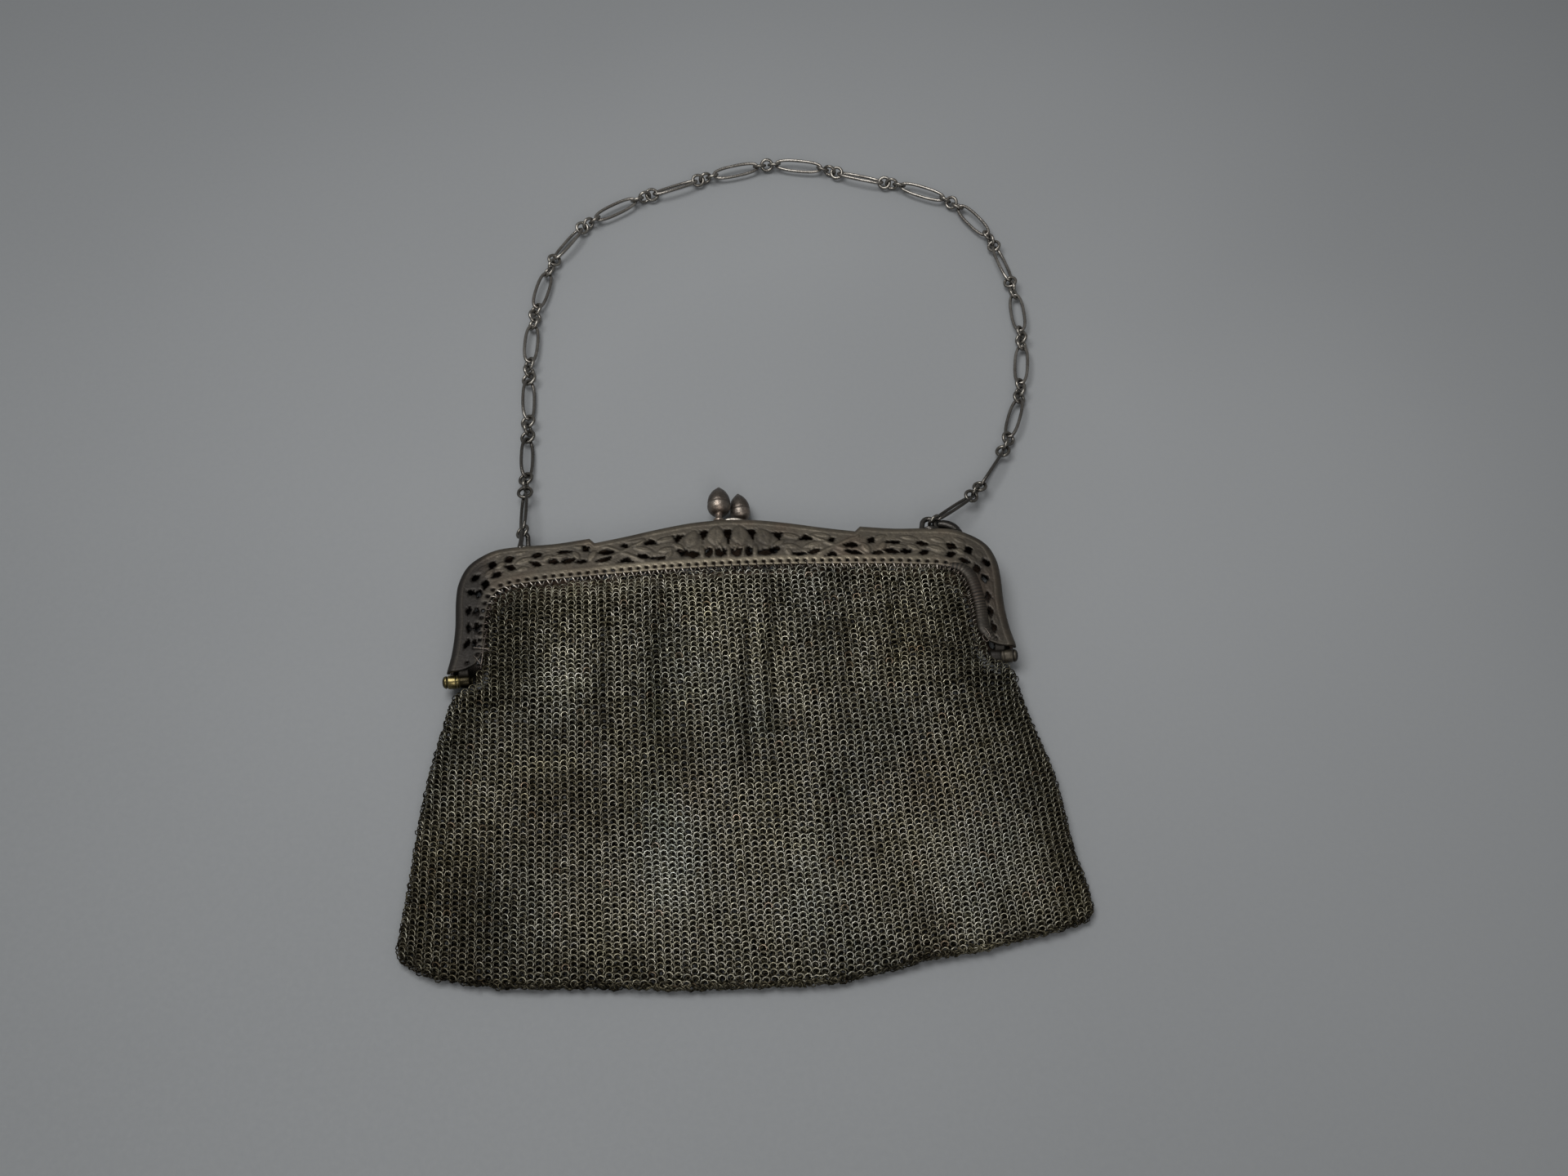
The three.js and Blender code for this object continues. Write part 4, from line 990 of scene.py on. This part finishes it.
def legRoll(start):
    # a flattened circle carried down the right leg's inner edge and round the foot's lower edge, its radius
    # waved by fine uneven ridges and drawn in at both ends
    edge, across, length = innerEdge()
    marks = np.linspace(start, length[-1] - 1.0, 60)
    inset = rollSize["inset"] * ease(marks - start, -2, 9)[:, None]
    down = atLength(marks, length, edge) - inset * atLength(marks, length, across)
    fine = throughPoints(np.vstack([down[::6], rollSize["foot"]]), 600)
    reach = lengthAlong(fine)
    steps = np.linspace(0, reach[-1], int(reach[-1] / rollSize["step"]))
    path = np.column_stack([atLength(steps, reach, fine), np.full(len(steps), rollSize["height"])])
    left = reach[-1] - steps
    ridge = np.sin(2 * np.pi * steps / rollSize["ridgePitch"] + 1.5 * np.sin(steps / 1.7))
    ridge = ridge * (0.6 + 0.4 * np.sin(steps / 2.3))
    radius = rollSize["radius"] * (0.3 + 0.7 * ease(steps, 0, 9)) * (0.25 + 0.75 * ease(left, 0, 9))
    points, faces = wireAlong(path, (0, 0, 1), radius + rollSize["ridge"] * ridge, rollSize["sides"])
    points[:, 2] = rollSize["height"] + (points[:, 2] - rollSize["height"]) * rollSize["flat"]
    points[:, 2] -= np.repeat(0.3 * (1 - ease(left, 0, 6)), rollSize["sides"])
    return (askew(points), faces), allRound(rollSize["sides"], grime=np.clip(0.7 - 0.3 * ridge, 0, 0.95))


edgeLength = innerEdge()[2][-1]
rollStart = rollSize["from"] * edgeLength
lace = laceAlong(arch["holeFrom"], rollStart, arch["holePitch"], lacing["loop"], 6)
laceX, laceY = lace[0][:, 0], lace[0][:, 1]
onLeg = 1 - ease(laceY, 18, 25)
dull = ease(laceX, -14, -4) * (1 - ease(laceX, 18, 30))  # the loops are bright over the shoulders only
marks = {
    "wear": (0.4 - 0.05 * (laceX > 0)) * (1 - dull) * (1 - onLeg),
    "grime": np.maximum(0.6 * dull, 0.72 * onLeg),
}
onFrame("lacingFront", bent(lace), knobMetal, marks)
lace = laceAlong(arch["holeFrom"], edgeLength - arch["holeFrom"], arch["holePitch"], lacing["backLoop"], 5)
onFrame("lacingBack", underneath(bent(lace)), knobMetal, half="back")
lace = laceAlong(rollStart, edgeLength - 5.0, lacing["rollPitch"], lacing["rollLoop"], 6)
onFrame("lacingRoll", bent(lace), knobMetal, allOver(lace, grime=0.45))
shape, marks = legRoll(rollStart - 1.0)
onFrame("legRoll", shape, frameMetal, marks)

looseEnds = [
    [(-65.4, 6.9, 8.95), (-63.4, 6.5, 9.15), (-61, 6.2, 8.9)],
    [(-62, 12, 8.7), (-62.6, 8, 9.1), (-62.9, 4.4, 9), (-63.4, 1, 8)],
    [(-65.3, 4.6, 8.95), (-64.3, 3.4, 9.05), (-63.2, 1.8, 8.5)],
    [(63.6, 6.4, 8.8), (64.7, 4.8, 9.2), (65.4, 2.8, 8.9), (64.4, 1.6, 8.6), (63.4, 3, 8.9),
     (64.6, 4.4, 8.6)],
]
paths = [askew(throughPoints(end, 14)) for end in looseEnds]
ends = joinParts([wireAlong(path, (0.2, 0.1, 1), lacing["endWire"], 6) for path in paths])
onFrame("lacingEnds", ends, knobMetal, allOver(ends, grime=0.35))
print("lacing made")

# Hinges: a grooved barrel at each foot with a ball cap, and the tabs that carry it

hinge = {
    "y": -pinDrop,
    "z": 4.5,
    # distance from the outer end and radius: cap, groove, outer barrel, groove, inner barrel, pin head
    "profile": [
        (0, 0.25), (0.05, 0.62), (0.18, 1), (0.4, 1.28), (0.7, 1.45), (1, 1.5), (1.15, 1.44), (1.25, 1.34),
        (1.36, 1.34), (1.44, 1.5), (1.56, 1.6), (1.8, 1.64), (2.5, 1.62), (3.3, 1.64), (3.5, 1.6),
        (3.62, 1.48), (3.76, 1.48), (3.86, 1.6), (4, 1.62), (4.2, 1.6), (4.32, 1.48), (4.46, 1.48),
        (4.56, 1.58), (4.8, 1.62), (6.8, 1.62), (7.1, 1.54), (7.28, 1.3), (7.34, 0.9), (7.5, 0.9),
        (7.56, 1.2), (7.7, 1.3), (7.9, 1.26), (8, 1), (8.02, 0.4),
    ],
    "stout": 1.1, "sides": 28, "outerX": 73.9, "innerX": 65.88,
    "grime": {-1: 0.3, 1: 0.6},  # of the left and the right barrel
    # the tab's bend seen from the side, its two edges on the front half and on the back, its sheet
    "tabBend": [(5.2, 8.0), (2.8, 7.95), (1.0, 7.4), (0.1, 6.4), (0.15, 5.2)],
    "tabFront": (66.7, 69.2),
    "tabBack": (69.8, 72.0),
    "tabSheet": 0.7,
}


def hingeBarrel(side):
    # the profile spun about the pin's line, dark in its grooves, and towards the mesh darkened by painted
    # shadow from the foot above it
    profile = np.array(hinge["profile"]) * (1, hinge["stout"])
    far, thick = profile.T
    ends = [(side * hinge[key], hinge["y"], hinge["z"]) for key in ("outerX", "innerX")]
    groove = np.clip((1.65 - thick) / 0.3, 0, 1) * (far > 0.9)
    inner, cap = ease(far, 3.9, 4.9), 1 - ease(far, 0.9, 1.5)
    # inner paints the shadow under the foot onto the barrel's inner end
    grime = np.clip(hinge["grime"][side] + 0.7 * groove + 0.7 * inner + 0.4 * cap, 0, 0.95)
    marks = allRound(hinge["sides"], grime=grime, wear=(thick > 1.55) * 0.22 * (1 - inner))
    return turned(profile, *ends, hinge["sides"]), marks


def hingeTab(side, fromX, toX):
    # a strip bent from under the plate down onto the barrel, swept across its width
    bend = throughPoints(hinge["tabBend"], 16)
    x = np.linspace(fromX, toX, 8) * side
    y, z = (np.repeat(bend[:, k, None], 8, 1) for k in (0, 1))
    points = np.stack([np.repeat(x[None], 16, 0), y, z], -1).reshape(-1, 3)
    faces = gridFaces(16, 8)
    return askew(points), [faces[:, ::-1] if side > 0 else faces]


barrels = {"Left": (-1, pinBrass, "pin_brass"), "Right": (1, frameMetal, "frame_metal")}
for label, (side, metal, slotName) in barrels.items():
    shape, marks = hingeBarrel(side)
    makePiece("hingeBarrel" + label, shape, metal, ["hinge_pin_" + label.lower()], marks)
for half in ("Front", "Back"):
    tabs = joinParts([hingeTab(side, *hinge["tab" + half]) for side in (-1, 1)])
    # the tabs are painted near black: painted shade beneath the feet
    tabShade = allOver(tabs, grime=0.85)
    tabs = underneath(tabs) if half == "Back" else tabs
    thicken(onFrame("hingeTabs" + half, tabs, frameMetal, tabShade, half.lower()), hinge["tabSheet"])
print("hinges made")

# Clasp: two acorns, the back one smaller

acorns = {
    "Front": {"base": (-1.4, 45.5, 6.0), "tip": (-1.0, 57.2, 6.1), "radius": 3.1},
    "Back": {"base": (4.8, 45.4, 3.0), "tip": (4.1, 56.6, 3.7), "radius": 2.75},
}
# share of the length and of the radius: plate, stem, cup, groove, nut, rounded tip with a small point
acornProfile = [
    (0, 0.46), (0.03, 0.5), (0.06, 0.48), (0.08, 0.36), (0.11, 0.31), (0.19, 0.3), (0.225, 0.36),
    (0.25, 0.52), (0.28, 0.7), (0.33, 0.86), (0.39, 0.96), (0.45, 1.01), (0.47, 1.005), (0.485, 0.985),
    (0.5, 0.985), (0.55, 1), (0.6, 0.985), (0.67, 0.94), (0.74, 0.85), (0.81, 0.71), (0.87, 0.55),
    (0.92, 0.38), (0.95, 0.26), (0.968, 0.18), (0.98, 0.15), (0.992, 0.12), (1, 0.03),
]
acornSides = 48


def acornKnob(label):
    # the profile spun about the line from base to tip, with crossing scales round the cup and faint flutes
    # down the nut
    size = acorns[label]
    length = float(np.linalg.norm(np.subtract(size["tip"], size["base"])))
    profile = throughPoints(acornProfile, 76) * (length, size["radius"])

    def cupScales(along, turn):
        share = along / length
        cup = ease(share, 0.26, 0.32) * (1 - ease(share, 0.42, 0.46))
        weave = np.sin(12 * turn + 46 * share) * np.sin(12 * turn - 46 * share)
        nut = ease(share, 0.49, 0.55) * (1 - ease(share, 0.85, 0.95))
        return 0.05 * cup * weave + 0.012 * nut * np.cos(26 * turn)

    shape = turned(profile, size["base"], size["tip"], acornSides, cupScales)
    share = profile[:, 0] / length
    groove = bell(share - 0.49, 0.016) + bell(share - 0.24, 0.02)
    grime = np.clip(0.4 * groove + 0.42 * ease(share, 0.49, 0.56), 0, 0.9)
    # the cup is painted a little lighter: a painted highlight
    cup = ease(share, 0.26, 0.32) * (1 - ease(share, 0.45, 0.48))
    marks = allRound(acornSides, grime=grime, wear=0.05 * cup)
    makePiece("acorn" + label, shape, knobMetal, ["clasp_acorn_" + label.lower()], marks)


for label in acorns:
    acornKnob(label)
claspBar = throughPoints([(-0.2, 45.2, 6.9), (1.2, 45.5, 7.0), (3.0, 45.55, 7.0), (5.0, 45.2, 6.9)], 24)
bar = wireAlong(claspBar, (0, 0, 1), 0.5 - 0.3 * np.linspace(-1, 1, 24) ** 4, 10)
# the bar is painted lighter all along: a painted highlight
onFrame("claspBar", bar, knobMetal, allOver(bar, wear=0.5))
print("clasp made")

# Chain eyes on the rim and the small nub beside the right one

eyes = {
    "edge": 39.3,
    "z": 6.4,
    "Left": {"x": -53.3, "wire": 0.66, "radius": 1.3, "reach": 5.4, "roll": 55, "splay": 0.35, "mound": 2.0},
    "Right": {"x": 54.7, "wire": 0.72, "radius": 1.6, "reach": 3.9, "roll": 0, "splay": 0.3, "mound": 2.6},
}


def rimEye(label):
    # a hairpin rolled about its own length: two legs splayed towards the rim and joined by a half round,
    # with a small mound where they are soldered
    size = eyes[label]
    radius = size["radius"]
    straight = size["reach"] - radius
    legs = np.linspace(-1.3, straight, 8)
    bow = np.linspace(np.pi, 0, 16)[1:-1]
    side = np.r_[np.full(8, -radius), radius * np.cos(bow), np.full(8, radius)]
    out = np.r_[legs, straight + radius * np.sin(bow), legs[::-1]]
    side = side * (1 + size["splay"] * ease(-out, -3.4, 0.4))
    roll = math.radians(size["roll"])
    wide = np.array([math.cos(roll), 0, -math.sin(roll)])
    centre = np.array([size["x"], eyes["edge"], eyes["z"]])
    path = centre + side[:, None] * wide + out[:, None] * (0, 1, 0)
    thick = size["wire"] * (1 + 0.3 * ease(-out, -1.2, 0.6))
    wire = wireAlong(path, np.cross(wide, (0, 1, 0)), thick, 10)
    u = np.linspace(0.02, np.pi / 2, 8)
    profile = np.column_stack([0.9 - 1.3 * np.cos(u), size["mound"] * np.sin(u)])[::-1]
    mound = turned(profile, centre - (0, 1.2, 0), centre + (0, 1.0, 0), 24)
    shape = joinParts([wire, mound])
    onFrame("rimEye" + label, shape, chainMetal, allOver(shape, grime=0.7))


rimEye("Left")
rimEye("Right")
nub = {"from": (61.7, 36.9, 6.4), "to": (62.6, 39.4, 6.4), "radius": 1.35}
ball = np.linspace(0.06, np.pi - 0.06, 18)
bead = turned(nub["radius"] * np.column_stack([1 - np.cos(ball), np.sin(ball)]), nub["from"], nub["to"], 24)
rimBar = throughPoints([(57.2, 41.2, 6.4), (58.9, 40.9, 6.5), (60.8, 40.0, 6.5), (62.3, 38.8, 6.4)], 24)
bead = joinParts([bead, wireAlong(rimBar, (0, 0, 1), 1.4 - 0.35 * np.linspace(-1, 1, 24) ** 2, 14)])
onFrame("rimNub", bead, chainMetal, allOver(bead, grime=0.85))
print("rim eyes made")

# Chain: nineteen long links with three small rings between each two

chain = {
    "links": 19, "wire": 0.475, "halfWide": 1.825, "linkSteps": 44,
    "ringWire": 0.48, "endRadius": 1.78, "ringSteps": 22,
    "fullness": 2.5,  # 2 is an ellipse, more is squarer
    "stretch": 0.4,  # added to each half of a link
    "slack": 0.04,  # between wire and wire where two rings meet
    "tilts": {1: -64, 2: 38, 6: -34, 8: -30, 11: -28, 14: -38, 19: 46},  # of some links, in degrees
    "ringTilt": 60,  # of a ring from the link it hangs on
    "darkens": (0.2, 3.2),  # the links from the frame over which the chain's tarnish fades
}


def lieOf(name):
    # middle of a CAD piece and its three axes, longest first
    points = cadPoints(name)
    middle = points.mean(0)
    axes = np.linalg.svd(points - middle, full_matrices=False)[2]
    reach = np.abs((points - middle) @ axes[0]).max()
    return middle, axes, reach


def power(value, exponent):
    # a power that keeps the sign
    return np.sign(value) * np.abs(value) ** exponent


def longLink(middle, axes, reach):
    # a superellipse of wire in the link's own plane
    turn = evenTurn(chain["linkSteps"])
    along = (reach - chain["wire"]) * power(np.cos(turn), 2 / chain["fullness"])
    across = chain["halfWide"] * power(np.sin(turn), 2 / chain["fullness"])
    path = middle + along[:, None] * axes[0] + across[:, None] * axes[1]
    return wireAlong(path, axes[2], chain["wire"], 8, True)


def smallRing(middle, first, second, radius):
    # a circle of wire in the plane of two directions
    path = middle + radius * around(evenTurn(chain["ringSteps"]), first, second)
    return wireAlong(path, np.cross(first, second), chain["ringWire"], 8, True)


linkNames = ["chain_link_%02d" % (k + 1) for k in range(chain["links"])]
lies = [lieOf(name) for name in linkNames]
onward = np.gradient(np.array([middle for middle, _, _ in lies]), axis=0)
for k, (middle, axes, reach) in enumerate(lies):
    ahead = axes[0] * np.sign(axes[0] @ onward[k])
    if k + 1 in chain["tilts"]:
        level = unit(np.cross((0, 0, 1.0), ahead))
        tilt = math.radians(chain["tilts"][k + 1])
        wide = math.cos(tilt) * level + math.sin(tilt) * np.cross(ahead, level)
        axes = np.stack([ahead, wide, np.cross(ahead, wide)])
    # the first and the last link grow away from the frame only
    away = (k == 0) * 1.0 - (k == len(lies) - 1) * 1.0
    lies[k] = (middle + away * chain["stretch"] * ahead, axes, reach + chain["stretch"])


def hungOn(run, wide):
    # a ring's direction across the run, turned from the link's by the ring tilt, whichever way lies lower
    wide = squareTo(wide, run)
    tilt = math.radians(chain["ringTilt"])
    ways = [math.cos(tilt) * wide + way * math.sin(tilt) * np.cross(run, wide) for way in (1, -1)]
    return min(ways, key=lambda across: abs(across[2]))


def fromEnd(count):
    # how many places each piece of a row lies from the row's nearer end
    return np.minimum(np.arange(count), count - 1 - np.arange(count))


links = [longLink(*lie) for lie in lies]
smallRings = []
for (middleA, axesA, reachA), (middleB, axesB, reachB) in zip(lies[:-1], lies[1:]):
    # the three rings just meet: their radius follows from the gap between the links' end wires
    headA = axesA[0] * np.sign((middleB - middleA) @ axesA[0])
    headB = axesB[0] * np.sign((middleB - middleA) @ axesB[0])
    endA = middleA + headA * (reachA - chain["wire"])
    endB = middleB - headB * (reachB - chain["wire"])
    run = unit(endB - endA)
    meeting = chain["wire"] + chain["ringWire"] + chain["slack"]
    radius = (np.linalg.norm(endB - endA) / 2 + meeting + 2 * chain["ringWire"] + chain["slack"]) / 3
    near, far = endA + run * (radius - meeting), endB - run * (radius - meeting)
    acrossA, acrossB = hungOn(run, axesA[1]), hungOn(run, axesB[1])
    between = unit(np.cross(run, acrossA + acrossB * np.sign(acrossA @ acrossB)))
    smallRings.append(smallRing(near, run, acrossA, radius))
    smallRings.append(smallRing((near + far) / 2, run, between, radius))
    smallRings.append(smallRing(far, run, acrossB, radius))
for name in ("chain_end_ring_left", "chain_end_ring_right"):
    middle, axes, reach = lieOf(name)
    smallRings.append(smallRing(middle, axes[0], axes[1], chain["endRadius"]))
ringNames = ["chain_rings_%02d" % (k + 1) for k in range(chain["links"] - 1)]
ringNames += ["chain_end_ring_left", "chain_end_ring_right"]
# the chain darkens towards the frame
linkDull = 0.75 * (1 - ease(fromEnd(len(links)), *chain["darkens"]))
ringDull = 0.85 - 0.5 * ease(np.r_[fromEnd(len(smallRings) - 2) / 3, 0, 0], *chain["darkens"])
for name, parts, stands, dull, wear in (
    ("chainLinks", links, linkNames, linkDull, 0.04),
    ("chainRings", smallRings, ringNames, ringDull, 0.15),
):
    marks = allRound(len(parts[0][0]), grime=dull, wear=np.full(len(parts), wear))
    makePiece(name, joinParts(parts), chainMetal, stands, marks)
print("chain made,", len(links), "links and", len(smallRings), "rings")

# Floor, light and camera

floorLook, tree, skin, where = newLook("paleFloor", 0.0)
weave = cloudy(tree, where, 1.5, 3)
soft = cloudy(tree, where, 220.0, 2, 2.0)
colour = ramp(tree, soft, [(0.35, "#6f7275"), (0.65, "#75787b")])
# towards the edges the floor is painted darker: a painted falloff of the light
away = addNode(tree, "VectorMath", {0: where, 1: (0.03, 0.02, 0.0)}, operation="DISTANCE").outputs["Value"]
colour = mixColour(tree, spread(tree, away, 0.08, 0.42, 0.0, 1.0), colour, tone("#54575a"))
finishLook(tree, skin, colour, spread(tree, weave, 0.3, 0.7, 0.75, 0.85), weave, 0.02)
reach, level = 1.6, -0.0002  # metres
floorMesh = bpy.data.meshes.new("floor")
corners = [(-reach, -reach, level), (reach, -reach, level), (reach, reach, level), (-reach, reach, level)]
floorMesh.from_pydata(corners, [], [(0, 1, 2, 3)])
floorMesh.materials.append(floorLook)
newObject("floor", floorMesh)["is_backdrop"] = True


def aimAt(thing, spot, aim):
    # a lamp and a camera look down their own -z
    thing.location = spot
    thing.rotation_euler = (aim - spot).to_track_quat("-Z", "Y").to_euler()


light = {
    # place and aim in metres from the hinge's middle, size, power, colour
    "softTop": ((-0.28, 0.1, 1.05), (0, 0, 0), 0.7, 12.3, (1.0, 0.985, 0.96)),
    "softFront": ((0.1, -0.9, 0.75), (0, 0.02, 0), 0.5, 4.0, (1.0, 0.97, 0.93)),
}
middle = Vector(place((0, 0, 0)))
for name, (spot, aim, size, watts, colour) in light.items():
    lamp = bpy.data.lights.new(name, "AREA")
    lamp.size = size
    lamp.energy = watts
    lamp.color = colour
    aimAt(newObject(name, lamp), middle + Vector(spot), middle + Vector(aim))
world = bpy.data.worlds.new("studio")
world.use_nodes = True
sky = world.node_tree.nodes["Background"].inputs
sky["Color"].default_value = (1.0, 0.99, 0.97, 1.0)
sky["Strength"].default_value = 0.32
bpy.context.scene.world = world
bpy.context.scene.view_settings.view_transform = "Standard"

view = {"spot": (-3.02, -293.37, 458.73), "aim": (15.08, 27.32, 0.0), "lens": 48.3}
cameraData = bpy.data.cameras.new("camera")
cameraData.lens = view["lens"]
cameraData.sensor_width = 36
cameraData.sensor_fit = "HORIZONTAL"
cameraData.clip_start = 0.01
camera = newObject("camera", cameraData)
aimAt(camera, Vector(place(view["spot"])), Vector(place(view["aim"])))
bpy.context.scene.camera = camera
print("floor, light and camera set")

low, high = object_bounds()
